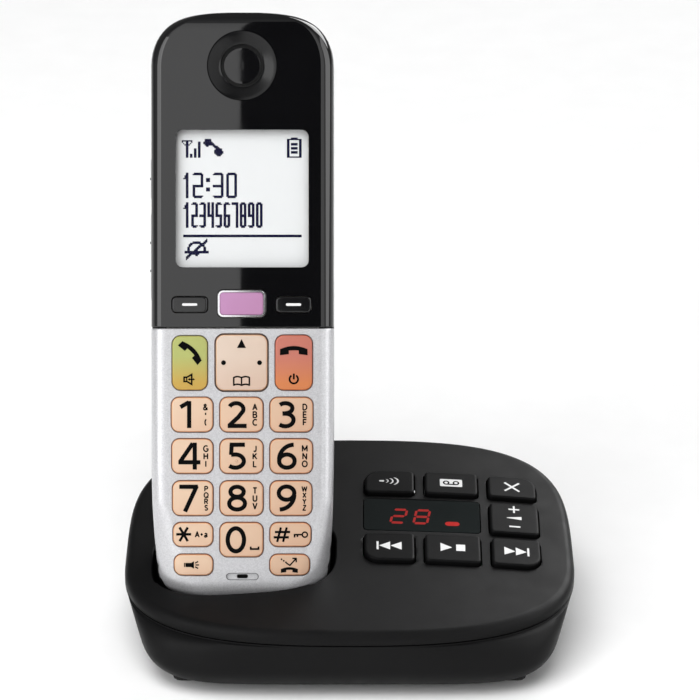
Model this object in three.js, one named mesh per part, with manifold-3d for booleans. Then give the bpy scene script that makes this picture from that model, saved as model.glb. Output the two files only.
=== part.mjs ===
// Cordless telephone: a handset that leans back in a charging base with an answering machine.
// Millimetres, +Z up, the handset and the keys face -Y. The origin is under the middle of the object.
import * as THREE from "three";
import { mergeVertices } from "three/addons/utils/BufferGeometryUtils.js";
import Module from "manifold-3d";

const wasm = await Module();
wasm.setup();

// Base body, in the base frame: origin on the table, y = 0 on the widest line.
const BASE_HALF_WIDTH = 64.65;
const BASE_FRONT = 39.5;
const BASE_REAR = 53;
const FRONT_POWER = 2.42;
const REAR_POWER = 4.06;
const TOP_HEIGHT = 27.3;
const TOP_SLOPE = 0.144;
const TOP_DOME_RADIUS = 561;
const TOP_FILLET = 2.4;
const SEAM_DROP = 3.5;
const SEAM_GAP = 0.3;
const COVER_WALL = 2;
const CASE_WALL = 2.2;
const CASE_BOTTOM = 0.8;
const CASE_LOW_HALF_WIDTH = 56.7;
const CASE_LOW_FRONT = 39;
const CASE_LOW_REAR = 51;
const CASE_LOW_POWER = 6.2;
const CASE_LOW_RADIUS = 12;
const CASE_TAPER_POWER = 0.75;

// Handset, in its own frame: z runs up the handset, y goes in from the front face, and z = 0 at the
// lip of the cradle.
const LEAN = THREE.MathUtils.degToRad(25);
const HANDSET_PLACE = new THREE.Vector3(-30.25, -19.83, 23.51);
const HALF_WIDTH = 25.8;
const THICKNESS = 26;
const LOW_END = -5;
const LOW_END_LENGTH = 10;
const LOW_TAPER = 2.1;
const LOW_TAPER_TOP = 40;
const HIGH_END = 163.6;
const HIGH_END_LENGTH = 15;
const SHELL_WALL = 1.8;
const PARTING_DEPTH = 7;
const COVER_JOINT = 74.7;
const GAP = 0.3;

// Handset keys stand a little above the face and end just above the keypad mat.
const KEY_PROUD = 0.6;
const KEY_BEVEL = 0.45;
const KEY_FOOT = 2.3;
const KEY_GAP = 0.35;
const KEY_CORNER = 2.2;

// Cradle well.
const WELL_CLEARANCE = 0.35;
const WELL_LIP_DEPTH = 15;
const WELL_LIP_POWER = 2.85;
const WELL_LIP_STEPS = 14;
const WELL_FLOOR = -5.4;
const WELL_WALL = 1.7;
const WELL_NARROWING = 2;

// Base keys and display on the domed top: bounds are x0, x1, y0, y1, and radii run anticlockwise
// from the low-left corner.
const even = (radius) => [radius, radius, radius, radius];
const BASE_KEYS = {
  key_locator: { bounds: [4.5, 19, 24.1, 34.5], radii: [1.4, 1.4, 1.4, 4.5] },
  key_answer: { bounds: [22.1, 37.7, 24.1, 34.5], radii: even(1.4) },
  key_erase: { bounds: [40.8, 54.9, 24.1, 34.1], radii: [1.4, 1.4, 4.5, 1.4] },
  key_base_volume: { bounds: [40.8, 55, 7.2, 21.2], radii: even(1.4) },
  key_rewind: { bounds: [4.2, 18.6, -7.5, 4.9], radii: [4.5, 1.4, 1.4, 1.4] },
  key_play_stop: { bounds: [21.6, 37.6, -7.5, 4.9], radii: even(1.4) },
  key_forward: { bounds: [40.8, 54.8, -7.5, 4.7], radii: [1.4, 4.5, 1.4, 1.4] },
};
const DISPLAY_BOUNDS = [4.2, 38, 7.6, 22.4];
const FEET = {
  foot_front_left: [-50, -38.4, -28.6, -20.4],
  foot_front_right: [38.4, 50, -28.6, -20.4],
  foot_rear_left: [-46, -34.4, 30, 38.2],
  foot_rear_right: [34.4, 46, 30, 38.2],
};
const FOOT_TOP = 2.1;
const POWER_X = -6;
const LINE_X = 14;
const SOCKET_FACE = 48.6;
const SPEAKER_X = -30;
const SPEAKER_Y = 21;

// Handset parts: bounds are x0, x1, z0, z1.
const DIGIT_COLUMNS = [
  [-19.95, -8.2],
  [-6.3, 5.9],
  [7.8, 19.95],
];
// Each row has its own inset at the outer edges, because the handset narrows towards its low end.
const DIGIT_ROWS = [
  { heights: [45.4, 55.2], inset: 0 },
  { heights: [33.7, 43.5], inset: 0.1 },
  { heights: [21.85, 31.65], inset: 0.3 },
];
const DIGIT_RADII = even(KEY_CORNER);
const NAV_BOUNDS = [-7.45, 7.15, 57.05, 72.85];
const SCREEN_BOUNDS = [-18.6, 18.6, 91.9, 130.35];
const SCREEN_RADII = even(1.9);
const EARPIECE_HEIGHT = 148.5;
const MICROPHONE_HEIGHT = 4.6;
const DOOR_BOUNDS = [-16.6, 16.6, 31, 85];
const BAY_BOUNDS = [-11.4, 11.4, 35.3, 81.2];
const BAY_FLOOR = 12.2;
const CELL_RADIUS = 5.25;
const CELL_LENGTH = 44.3;
const CELL_HEIGHT = 36.1;
const SIDE_KEYS = {
  side_key: [110.9, 123.2],
  volume_rocker: [81.9, 107.8],
};
const SIDE_KEY_DEPTH = [9.6, 14.2];

// Sections of the handset, as shares of its two curved ends.
const FINE_LOW = [0.963, 0.88, 0.76, 0.58, 0.35, 0];
const FINE_HIGH = [0, 0.35, 0.62, 0.8, 0.92, 0.975];
const COARSE_LOW = [0.96, 0.75, 0.45, 0];
const COARSE_HIGH = [0, 0.6, 0.95];

const MATERIALS = {
  charcoal: { color: 0x242426, roughness: 0.62, metalness: 0 },
  glossy_black: { color: 0x0b0b0d, roughness: 0.08, metalness: 0 },
  satin_black: { color: 0x141416, roughness: 0.4, metalness: 0 },
  silver: { color: 0xc4c5c8, roughness: 0.38, metalness: 0.6 },
  key_peach: { color: 0xf0cfae, roughness: 0.45, metalness: 0 },
  key_talk: { color: 0xb3b54f, roughness: 0.45, metalness: 0 },
  key_end: { color: 0xd9835f, roughness: 0.45, metalness: 0 },
  key_middle: { color: 0xc797c0, roughness: 0.4, metalness: 0.2 },
  window: { color: 0xdfe6e8, roughness: 0.05, metalness: 0 },
  screen: { color: 0xd9dddb, roughness: 0.5, metalness: 0 },
  display: { color: 0x1c0a08, roughness: 0.3, metalness: 0 },
  contact: { color: 0xc9b37a, roughness: 0.25, metalness: 1 },
  board: { color: 0x1d5a34, roughness: 0.6, metalness: 0 },
  rubber: { color: 0x1a1a1a, roughness: 0.9, metalness: 0 },
  mat: { color: 0xd8d4cc, roughness: 0.8, metalness: 0 },
  steel: { color: 0x9a9da1, roughness: 0.35, metalness: 1 },
  cell: { color: 0x6d8f4e, roughness: 0.35, metalness: 0.4 },
};

// ---- Solids ----

function solidFromGeometry(geometry) {
  const bare = geometry.index ? geometry.toNonIndexed() : geometry.clone();
  bare.deleteAttribute("normal");
  bare.deleteAttribute("uv");
  const merged = mergeVertices(bare, 1e-4);
  const mesh = new wasm.Mesh({
    numProp: 3,
    vertProperties: new Float32Array(merged.attributes.position.array),
    triVerts: new Uint32Array(merged.index.array),
  });
  return new wasm.Manifold(mesh);
}

// Closes a stack of rings, each with the same number of points, into one solid facing out,
// and places it by a matrix when one is given.
function loft(rings, matrix = new THREE.Matrix4()) {
  const count = rings[0].length;
  const points = rings.flat();
  const faces = [];
  for (let r = 0; r + 1 < rings.length; r++) {
    for (let i = 0; i < count; i++) {
      const a = r * count + i;
      const b = r * count + ((i + 1) % count);
      faces.push([a, b, b + count], [a, b + count, a + count]);
    }
  }
  const addCap = (ring, start, flip) => {
    const middle = [0, 1, 2].map((k) => ring.reduce((sum, p) => sum + p[k], 0) / count);
    const centre = points.push(middle) - 1;
    for (let i = 0; i < count; i++) {
      const a = start + i;
      const b = start + ((i + 1) % count);
      faces.push(flip ? [centre, b, a] : [centre, a, b]);
    }
  };
  addCap(rings[0], 0, true);
  addCap(rings[rings.length - 1], (rings.length - 1) * count, false);

  let volume = 0;
  const [p, q, s] = [new THREE.Vector3(), new THREE.Vector3(), new THREE.Vector3()];
  for (const [a, b, c] of faces) {
    volume += p.fromArray(points[a]).dot(q.fromArray(points[b]).cross(s.fromArray(points[c])));
  }
  const turned = volume < 0 ? faces.map(([a, b, c]) => [a, c, b]) : faces;
  const geometry = new THREE.BufferGeometry();
  geometry.setAttribute("position", new THREE.Float32BufferAttribute(points.flat(), 3));
  geometry.setIndex(turned.flat());
  return solidFromGeometry(geometry.applyMatrix4(matrix));
}

function box(x0, x1, y0, y1, z0, z1, matrix = new THREE.Matrix4()) {
  const geometry = new THREE.BoxGeometry(x1 - x0, y1 - y0, z1 - z0);
  geometry.translate((x0 + x1) / 2, (y0 + y1) / 2, (z0 + z1) / 2);
  return solidFromGeometry(geometry.applyMatrix4(matrix));
}

// A turned solid about the y axis through (x, z): the profile lists [radius, y] from axis to axis.
function turned(x, z, profile, segments = 32) {
  const points = profile.map(([radius, y]) => new THREE.Vector2(radius, y));
  const geometry = new THREE.LatheGeometry(points, segments);
  geometry.translate(x, 0, z);
  return solidFromGeometry(geometry);
}

function disc(x, z, radius, y0, y1, segments = 28) {
  return turned(x, z, [[0, y0], [radius, y0], [radius, y1], [0, y1]], segments);
}

// A turned solid about the z axis through (x, y).
function turnedUpright(x, y, profile, segments = 28) {
  const points = profile.map(([radius, z]) => new THREE.Vector2(radius, z));
  const geometry = new THREE.LatheGeometry(points, segments);
  geometry.rotateX(Math.PI / 2);
  geometry.translate(x, y, 0);
  return solidFromGeometry(geometry);
}

// Outline of a rectangle with its own radius at each corner: low-left, low-right, high-right, high-left.
function roundedOutline([x0, x1, v0, v1], radii, inset = 0, steps = 3) {
  const corners = [
    [x0, v0, 1, 1, Math.PI],
    [x1, v0, -1, 1, 1.5 * Math.PI],
    [x1, v1, -1, -1, 0],
    [x0, v1, 1, -1, 0.5 * Math.PI],
  ];
  const outline = [];
  corners.forEach(([x, v, sx, sv, start], index) => {
    const radius = Math.max(radii[index] - inset, 0.15);
    const cx = x + sx * (inset + radius);
    const cv = v + sv * (inset + radius);
    for (let i = 0; i <= steps; i++) {
      const angle = start + (i / steps) * (Math.PI / 2);
      outline.push([cx + radius * Math.cos(angle), cv + radius * Math.sin(angle)]);
    }
  });
  return outline;
}

// How far a quarter circle of radius 1 has fallen at a share of its width.
const roll = (share) => 1 - Math.sqrt(Math.max(1 - share * share, 0));

// A straight prism of an outline in x and z, from depth y0 to y1.
function prism(bounds, radii, y0, y1, inset = 0, steps = 3) {
  const outline = roundedOutline(bounds, radii, inset, steps);
  return loft([y0, y1].map((y) => outline.map(([x, v]) => [x, y, v])));
}

// ---- Base shape ----

const topHeight = (x, y) => TOP_HEIGHT + TOP_SLOPE * y - (x * x) / (2 * TOP_DOME_RADIUS);

// Plan outline of the base: a soft front and a squarer rear that share their widest line.
function basePlan(halfWidth, front, rear, frontPower, count = 48) {
  const plan = [];
  for (let i = 0; i < count; i++) {
    const angle = (i / count) * 2 * Math.PI;
    const [c, s] = [Math.cos(angle), Math.sin(angle)];
    const power = s < 0 ? frontPower : REAR_POWER;
    const depth = s < 0 ? front : rear;
    const x = Math.sign(c) * Math.abs(c) ** (2 / power) * halfWidth;
    const y = Math.sign(s) * Math.abs(s) ** (2 / power) * depth;
    plan.push([x, y]);
  }
  return plan;
}

// A ring that follows the domed top at a given drop below it.
function coverRing(inset, drop) {
  const plan = basePlan(BASE_HALF_WIDTH - inset, BASE_FRONT - inset, BASE_REAR - inset, FRONT_POWER);
  return plan.map(([x, y]) => [x, y, topHeight(x, y) - drop]);
}

// The body under the domed top, moved in by a wall, with its underside at a drop below the top.
function coverBody(wall, underside, filletSteps, shares) {
  const fillet = TOP_FILLET - wall * 0.6;
  const rings = [coverRing(wall, underside)];
  for (let i = 0; i <= filletSteps; i++) {
    const turn = (i / filletSteps) * (Math.PI / 2);
    const inset = wall + fillet * (1 - Math.cos(turn));
    rings.push(coverRing(inset, wall + fillet * (1 - Math.sin(turn))));
  }
  for (const share of shares) {
    const plan = basePlan(BASE_HALF_WIDTH * share, BASE_FRONT * share, BASE_REAR * share, FRONT_POWER);
    rings.push(plan.map(([x, y]) => [x, y, topHeight(x, y) - wall]));
  }
  return loft(rings);
}

// The bottom case's outside, or its hollow when moved in by a wall.
function caseBody(wall, extraTop, levels) {
  const rim = basePlan(BASE_HALF_WIDTH, BASE_FRONT, BASE_REAR, FRONT_POWER);
  const heights = rim.map(([x, y]) => topHeight(x, y) - SEAM_DROP - SEAM_GAP);
  const bottom = CASE_BOTTOM + wall;
  const rings = [];
  for (const level of levels) {
    const taper = level ** CASE_TAPER_POWER;
    const above = (1 - level) * (TOP_HEIGHT - SEAM_DROP - CASE_BOTTOM);
    const round = 0.9 * CASE_LOW_RADIUS * roll(1 - Math.min(above / CASE_LOW_RADIUS, 1));
    const mix = (rimValue, lowValue) => rimValue + (lowValue - rimValue) * taper;
    const halfWidth = mix(BASE_HALF_WIDTH, CASE_LOW_HALF_WIDTH) - round - wall;
    const front = mix(BASE_FRONT, CASE_LOW_FRONT) - round - wall;
    const rear = mix(BASE_REAR, CASE_LOW_REAR) - 0.45 * round - wall;
    const plan = basePlan(halfWidth, front, rear, mix(FRONT_POWER, CASE_LOW_POWER));
    rings.push(plan.map(([x, y], i) => [x, y, heights[i] * (1 - level) + bottom * level]));
  }
  if (extraTop) {
    rings.unshift(rings[0].map(([x, y, z]) => [x, y, z + extraTop]));
  }
  return loft(rings);
}

// Frame on the domed top at (x, y): its z is the surface normal.
function topFrame(x, y) {
  const normal = new THREE.Vector3(x / TOP_DOME_RADIUS, -TOP_SLOPE, 1).normalize();
  const across = new THREE.Vector3(1, 0, -x / TOP_DOME_RADIUS).normalize();
  const back = new THREE.Vector3().crossVectors(normal, across);
  const matrix = new THREE.Matrix4().makeBasis(across, back, normal);
  return matrix.setPosition(x, y, topHeight(x, y));
}

// A rounded block set in the domed top, from level z0 to z1 in the frame of the surface, with a top bevel.
function topBlock([x0, x1, y0, y1], radii, z0, z1, inset = 0, bevel = 0) {
  const [halfX, halfY] = [(x1 - x0) / 2, (y1 - y0) / 2];
  const local = [-halfX, halfX, -halfY, halfY];
  const lower = roundedOutline(local, radii, inset);
  const rings = [lower.map(([x, y]) => [x, y, z0]), lower.map(([x, y]) => [x, y, z1 - bevel])];
  if (bevel > 0) {
    rings.push(roundedOutline(local, radii, inset + bevel).map(([x, y]) => [x, y, z1]));
  }
  return loft(rings, topFrame((x0 + x1) / 2, (y0 + y1) / 2));
}

// ---- Handset shape ----

const clamp01 = (value) => Math.min(Math.max(value, 0), 1);

// Half width of the handset: it narrows gently towards its low end and rounds off at both ends.
function halfWidthAt(z) {
  const taper = LOW_TAPER * clamp01((LOW_TAPER_TOP - z) / (LOW_TAPER_TOP - LOW_END)) ** 2;
  const low = clamp01((LOW_END + LOW_END_LENGTH - z) / LOW_END_LENGTH);
  const high = clamp01((z - HIGH_END + HIGH_END_LENGTH) / HIGH_END_LENGTH);
  return (HALF_WIDTH - taper) * (1 - low ** 2) ** 0.35 * (1 - high ** 2) ** 0.26;
}

const frontAt = (z) => 9 * roll(clamp01((8 - z) / 13)) + 3.5 * roll(clamp01((z - 158) / 6));
const backAt = (z) => THICKNESS - 9 * roll(clamp01((4 - z) / 9)) - 8 * roll(clamp01((z - 154) / 10));
const frontRadiusAt = (z) => 4 + 6 * clamp01((25 - z) / 20);

// Depth of the front face at a point, so that keys follow it.
function faceDepth(x, z) {
  const radius = frontRadiusAt(z);
  const over = Math.abs(x) - (halfWidthAt(z) - radius);
  return frontAt(z) + (over > 0 ? radius * roll(clamp01(over / radius)) : 0);
}

// One cross-section of the handset at height z, moved in by a wall.
function handsetRing(z, wall, steps) {
  const halfWidth = halfWidthAt(z) - wall;
  const front = frontAt(z) + wall;
  const back = backAt(z) - wall;
  const room = Math.min(back - front, 2 * halfWidth) * 0.48;
  const frontRadius = Math.min(Math.max(frontRadiusAt(z) - wall, 1), room);
  const backRadius = Math.min(9 - wall, room);
  const radii = [frontRadius, frontRadius, backRadius, backRadius];
  return roundedOutline([-halfWidth, halfWidth, front, back], radii, 0, steps);
}

function handsetBody(wall, steps, lowShares, highShares) {
  const heights = lowShares.map((share) => LOW_END + LOW_END_LENGTH * (1 - share));
  heights.push(8, 12, 18, 26, 40, 70);
  heights.push(...highShares.map((share) => HIGH_END - HIGH_END_LENGTH * (1 - share)));
  const middle = (LOW_END + HIGH_END) / 2;
  const shrink = 1 - (2 * wall) / (HIGH_END - LOW_END);
  const atHeight = (z) => middle + (z - middle) * shrink;
  return loft(heights.map((z) => handsetRing(z, wall, steps).map(([x, y]) => [x, y, atHeight(z)])));
}

// Every key of the handset's front: bounds are x0, x1, z0, z1.
function handsetKeys() {
  const keys = {
    softkey_left: { bounds: [-19.7, -9.75, 79.1, 83.5], radii: even(1.2), slot: "satin_black" },
    softkey_right: { bounds: [9.5, 19.45, 79.1, 83.5], radii: even(1.2), slot: "satin_black" },
    ok_key: { bounds: [-6.95, 6.6, 77.7, 85.4], radii: even(1.3), slot: "key_middle" },
    talk_key: { bounds: [-19.7, -9.75, 57.2, 72.5], radii: even(2.4), slot: "key_talk" },
    end_key: { bounds: [9.3, 19.8, 57.2, 72.7], radii: even(2.4), slot: "key_end" },
  };
  DIGIT_ROWS.forEach(({ heights, inset }, row) => {
    DIGIT_COLUMNS.forEach(([x0, x1], column) => {
      const digit = row * 3 + column + 1;
      const across = [column === 0 ? x0 + inset : x0, column === 2 ? x1 - inset : x1];
      keys["key_" + digit] = { bounds: [...across, ...heights], radii: DIGIT_RADII, slot: "key_peach" };
    });
  });
  const centre = DIGIT_COLUMNS[1];
  keys.key_star = { bounds: [-19.5, -8.25, 13.1, 19.9], radii: DIGIT_RADII, slot: "key_peach" };
  keys.key_0 = { bounds: [...centre, 10.2, 19.9], radii: DIGIT_RADII, slot: "key_peach" };
  keys.key_hash = { bounds: [7.8, 19.4, 13.1, 19.9], radii: DIGIT_RADII, slot: "key_peach" };
  keys.torch_key = { bounds: [-19.25, -8.25, 4.95, 10.95], radii: DIGIT_RADII, slot: "key_peach" };
  keys.redial_key = { bounds: [7.75, 19, 4.95, 10.95], radii: DIGIT_RADII, slot: "key_peach" };
  return keys;
}

const HANDSET_KEYS = handsetKeys();

function keyHole(bounds, radii) {
  return prism(bounds, radii, -4, 12, -KEY_GAP);
}

// A key whose top follows the face, a little above it, with a bevelled edge.
function keyCap(bounds, radii, foot = KEY_FOOT, proud = KEY_PROUD) {
  const edge = roundedOutline(bounds, radii, 0);
  const crown = roundedOutline(bounds, radii, KEY_BEVEL);
  const lift = (outline, height) => outline.map(([x, z]) => [x, faceDepth(x, z) - height, z]);
  return loft([edge.map(([x, z]) => [x, foot, z]), lift(edge, proud - KEY_BEVEL), lift(crown, proud)]);
}

// ---- Handset pieces ----

const handsetOutside = handsetBody(0, 4, FINE_LOW, FINE_HIGH);
const handsetInside = handsetBody(SHELL_WALL, 2, COARSE_LOW, COARSE_HIGH);
const handsetRoom = handsetBody(SHELL_WALL + 0.8, 2, COARSE_LOW, COARSE_HIGH);

function upperBezel() {
  const front = box(-40, 40, -5, PARTING_DEPTH - GAP / 2, COVER_JOINT + GAP / 2, 180);
  const boss = disc(0, EARPIECE_HEIGHT, 11.6, 0.6, 4.2, 40);
  const slope = [[9.8, 0], [8.9, 1.2], [7.4, 2.1], [6, 2.5]];
  const dish = turned(0, EARPIECE_HEIGHT, [[0, -4], [9.8, -4], ...slope, [6, 9], [0, 9]], 40);
  let bezel = handsetOutside.subtract(handsetInside).add(boss).intersect(front);
  bezel = bezel.subtract(dish).subtract(prism(SCREEN_BOUNDS, SCREEN_RADII, -4, 9, -GAP));
  for (const name of ["softkey_left", "softkey_right", "ok_key"]) {
    bezel = bezel.subtract(keyHole(HANDSET_KEYS[name].bounds, HANDSET_KEYS[name].radii));
  }
  return bezel;
}

function earpieceCap() {
  const profile = [[0, 1.5], [4.6, 1.6], [5.65, 2.1], [5.65, 3.4], [0, 3.4]];
  return turned(0, EARPIECE_HEIGHT, profile);
}

function lowerCover() {
  const front = box(-40, 40, -5, PARTING_DEPTH - GAP / 2, LOW_END + 1, COVER_JOINT - GAP / 2);
  let cover = handsetOutside.subtract(handsetInside).intersect(front);
  for (const [name, { bounds, radii }] of Object.entries(HANDSET_KEYS)) {
    if (bounds[3] < COVER_JOINT) {
      cover = cover.subtract(keyHole(bounds, radii));
    }
  }
  cover = cover.subtract(keyHole(NAV_BOUNDS, even(2.4)));
  const slot = [-4.55, 4.55, MICROPHONE_HEIGHT - 0.88, MICROPHONE_HEIGHT + 0.88];
  const hole = [-1.6, 1.6, MICROPHONE_HEIGHT - 0.6, MICROPHONE_HEIGHT + 0.6];
  cover = cover.subtract(prism(slot, even(0.87), -4, faceDepth(0, MICROPHONE_HEIGHT) + 0.7));
  return cover.subtract(prism(hole, even(0.59), -4, 9));
}

function rearShell() {
  const rear = box(-40, 40, PARTING_DEPTH + GAP / 2, 40, -20, 180);
  const seat = box(-19.5, 19.5, 22.3, 24.7, 28, 88).intersect(handsetOutside);
  const bayOutside = [BAY_BOUNDS[0] - 1.2, BAY_BOUNDS[1] + 1.2, BAY_BOUNDS[2] - 1.2, BAY_BOUNDS[3] + 1.2];
  const bay = prism(bayOutside, even(1.5), BAY_FLOOR - 1.2, 23);
  let shell = handsetOutside.subtract(handsetInside).intersect(rear).add(seat).add(bay);
  shell = shell.subtract(prism(DOOR_BOUNDS, even(4), 24.1, 40, -GAP));
  shell = shell.subtract(prism(BAY_BOUNDS, even(1), BAY_FLOOR, 40));
  for (const [z0, z1] of Object.values(SIDE_KEYS)) {
    shell = shell.subtract(sideBlock(z0, z1, -40, -20, KEY_GAP));
  }
  shell = shell.subtract(lensBarrel(3.2, HIGH_END - 6, HIGH_END + 6));
  for (const side of [-1, 1]) {
    shell = shell.subtract(contactPlate(side, GAP));
  }
  return shell;
}

// A rounded block through the left side wall.
function sideBlock(z0, z1, x0, x1, grow = 0) {
  const [y0, y1] = SIDE_KEY_DEPTH;
  const outline = roundedOutline([y0, y1, z0, z1], even(2), -grow);
  return loft([x0, x1].map((x) => outline.map(([y, z]) => [x, y, z])));
}

function sideKey(z0, z1) {
  const [y0, y1] = SIDE_KEY_DEPTH;
  const edge = roundedOutline([y0, y1, z0, z1], even(2));
  const crown = roundedOutline([y0, y1, z0, z1], even(2), 0.4);
  const ring = (outline, x) => outline.map(([y, z]) => [x, y, z]);
  return loft([ring(edge, -23.4), ring(edge, -HALF_WIDTH - 0.1), ring(crown, -HALF_WIDTH - 0.5)]);
}

// A charging contact set flush in the bottom end.
function contactPlate(side, grow = 0) {
  const x = side * 3.6;
  const low = LOW_END - 1.5 * (grow > 0 ? 1 : 0) + (grow > 0 ? 0 : 0.35);
  return box(x - 1.2 - grow, x + 1.2 + grow, 10 - grow, 16.5 + grow, low, LOW_END + 2.9 + grow);
}

function navKey() {
  return keyCap(NAV_BOUNDS, even(2.4), 2);
}

// The navigation key's pivot is a thin plate between the key and the mat.
function navPivot() {
  return prism([-5, 5, 60, 70], even(2), 2.3, 2.6);
}

function keypadMat() {
  const sheet = box(-21.5, 21.5, 2.9, 3.7, 2, 86.2).intersect(handsetRoom);
  return sheet.subtract(box(-4.4, 4.4, 0, 9, 0, 8.4));
}

function handsetBoard() {
  return box(-21.5, 21.5, 6.1, 7.3, 12, 134).intersect(handsetRoom);
}

// An AAA cell, with its button end up or down.
function batteryCell(side) {
  const profile = [[0, 0], [4.6, 0], [CELL_RADIUS, 0.5], [CELL_RADIUS, 42.6], [4.4, 43.2], [1.9, 43.2]];
  profile.push([1.9, CELL_LENGTH], [0, CELL_LENGTH]);
  const [low, high] = [CELL_HEIGHT, CELL_HEIGHT + CELL_LENGTH];
  const placed = profile.map(([radius, z]) => [radius, side < 0 ? low + z : high - z]);
  const upward = side < 0 ? placed : placed.reverse();
  return turnedUpright(side * (CELL_RADIUS + 0.35), BAY_FLOOR + 0.35 + CELL_RADIUS, upward, 20);
}

function lensBarrel(radius, low, high) {
  return turnedUpright(0, 14, [[0, low], [radius, low], [radius, high], [0, high]], 24);
}

// ---- Base pieces ----

const handsetMatrix = new THREE.Matrix4().makeRotationX(-LEAN).setPosition(HANDSET_PLACE);

// Cross-section of the cradle well: a rounded front lip and rounded rear corners.
function wellSection(grow, share) {
  const halfWidth = (HALF_WIDTH + WELL_CLEARANCE) * share + grow;
  const lip = -0.4 - grow;
  const back = THICKNESS + WELL_CLEARANCE + grow;
  const outline = [];
  for (let i = 0; i <= WELL_LIP_STEPS; i++) {
    const angle = Math.PI * (1 + i / WELL_LIP_STEPS);
    const across = Math.sign(Math.cos(angle)) * Math.abs(Math.cos(angle)) ** (2 / WELL_LIP_POWER);
    const inward = 1 - Math.abs(Math.sin(angle)) ** (2 / WELL_LIP_POWER);
    outline.push([halfWidth * across, lip + (WELL_LIP_DEPTH + grow) * inward]);
  }
  const rear = roundedOutline([-halfWidth, halfWidth, 0, back], even(8 + grow), 0, 4);
  return outline.concat(rear.slice(10));
}

// The well keeps one section down to its narrowing, then closes in like the handset's end.
function wellBody(grow, low, high) {
  const rings = [];
  for (const fall of [1, 0.6, 0.25, 0]) {
    const z = WELL_NARROWING + (low - WELL_NARROWING) * fall;
    rings.push(wellSection(grow, 1 - 0.38 * fall ** 2).map(([x, y]) => [x, y, z]));
  }
  rings.push(wellSection(grow, 1).map(([x, y]) => [x, y, high]));
  return loft(rings, handsetMatrix);
}

function cradleSlot(side, grow = 0) {
  const x = side * 3.6;
  const [low, high] = [WELL_FLOOR - 4, WELL_FLOOR + 0.15];
  return box(x - 1 - grow, x + 1 + grow, 10.5 - grow, 16 + grow, low, high, handsetMatrix);
}

function topCover() {
  const outside = coverBody(0, SEAM_DROP, 3, [0.7, 0.35]);
  const inside = coverBody(COVER_WALL, SEAM_DROP + 6, 1, [0.5]);
  const below = coverBody(0.05, 26, 3, [0.7, 0.35]);
  const cup = wellBody(WELL_WALL, WELL_FLOOR - WELL_WALL, 50).intersect(below);
  let cover = outside.subtract(inside).add(cup).subtract(wellBody(0, WELL_FLOOR, 60));
  for (const { bounds, radii } of Object.values(BASE_KEYS)) {
    cover = cover.subtract(topBlock(bounds, radii, -8, 8, -KEY_GAP));
  }
  cover = cover.subtract(topBlock(DISPLAY_BOUNDS, even(1.2), -8, 8, -GAP));
  for (const side of [-1, 1]) {
    cover = cover.subtract(cradleSlot(side, GAP));
  }
  return cover;
}

function bottomCase() {
  const outside = caseBody(0, 0, [0, 0.25, 0.5, 0.7, 0.84, 0.93, 1]);
  let shell = outside.subtract(caseBody(CASE_WALL, 8, [0, 0.45, 0.75, 1]));
  for (const bounds of Object.values(FEET)) {
    shell = shell.subtract(footBlock(bounds, GAP, -5, FOOT_TOP + GAP));
  }
  shell = shell.subtract(wellBody(WELL_WALL + GAP, WELL_FLOOR - WELL_WALL - GAP, 60));
  shell = shell.subtract(box(POWER_X - 4.9, POWER_X + 4.9, 30, 60, 7.1, 16.9));
  shell = shell.subtract(box(LINE_X - 6.9, LINE_X + 6.9, 30, 60, 6.1, 18.4));
  for (let i = -2; i <= 2; i++) {
    const x = SPEAKER_X + i * 4.5;
    shell = shell.subtract(box(x - 0.8, x + 0.8, SPEAKER_Y - 9, SPEAKER_Y + 9, -2, 4));
  }
  return shell;
}

function footBlock([x0, x1, y0, y1], grow, z0, z1) {
  const outline = roundedOutline([x0, x1, y0, y1], even(2.5), -grow);
  return loft([z0, z1].map((z) => outline.map(([x, y]) => [x, y, z])));
}

function powerInlet() {
  const body = box(POWER_X - 4.6, POWER_X + 4.6, 37, SOCKET_FACE, 7.4, 16.6);
  const geometry = new THREE.CylinderGeometry(2.9, 2.9, 9, 16);
  geometry.translate(POWER_X, SOCKET_FACE - 3.7, 12);
  const bore = solidFromGeometry(geometry);
  const pin = new THREE.CylinderGeometry(1, 1, 9.5, 8);
  pin.translate(POWER_X, SOCKET_FACE - 5, 12);
  return body.subtract(bore).add(solidFromGeometry(pin));
}

function lineSocket() {
  const body = box(LINE_X - 6.6, LINE_X + 6.6, 33.5, SOCKET_FACE, 6.4, 18.1);
  const mouth = box(LINE_X - 4.9, LINE_X + 4.9, 36, 60, 8.6, 15.4);
  const notch = box(LINE_X - 3.1, LINE_X + 3.1, 41, 60, 7.4, 9);
  return body.subtract(mouth).subtract(notch);
}

function baseSpeaker() {
  const profile = [[0, 5], [13, 5], [13, 6.8], [9, 9], [7.5, 9], [7.5, 13.5], [0, 13.5]];
  return turnedUpright(SPEAKER_X, SPEAKER_Y, profile);
}

// ---- Assembly ----

function addPiece(group, name, solid, slot) {
  const data = solid.getMesh();
  const geometry = new THREE.BufferGeometry();
  geometry.setAttribute("position", new THREE.BufferAttribute(new Float32Array(data.vertProperties), 3));
  geometry.setIndex(new THREE.BufferAttribute(new Uint32Array(data.triVerts), 1));
  geometry.computeVertexNormals();
  const mesh = new THREE.Mesh(geometry, new THREE.MeshStandardMaterial(MATERIALS[slot]));
  mesh.name = name;
  group.add(mesh);
}

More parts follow.
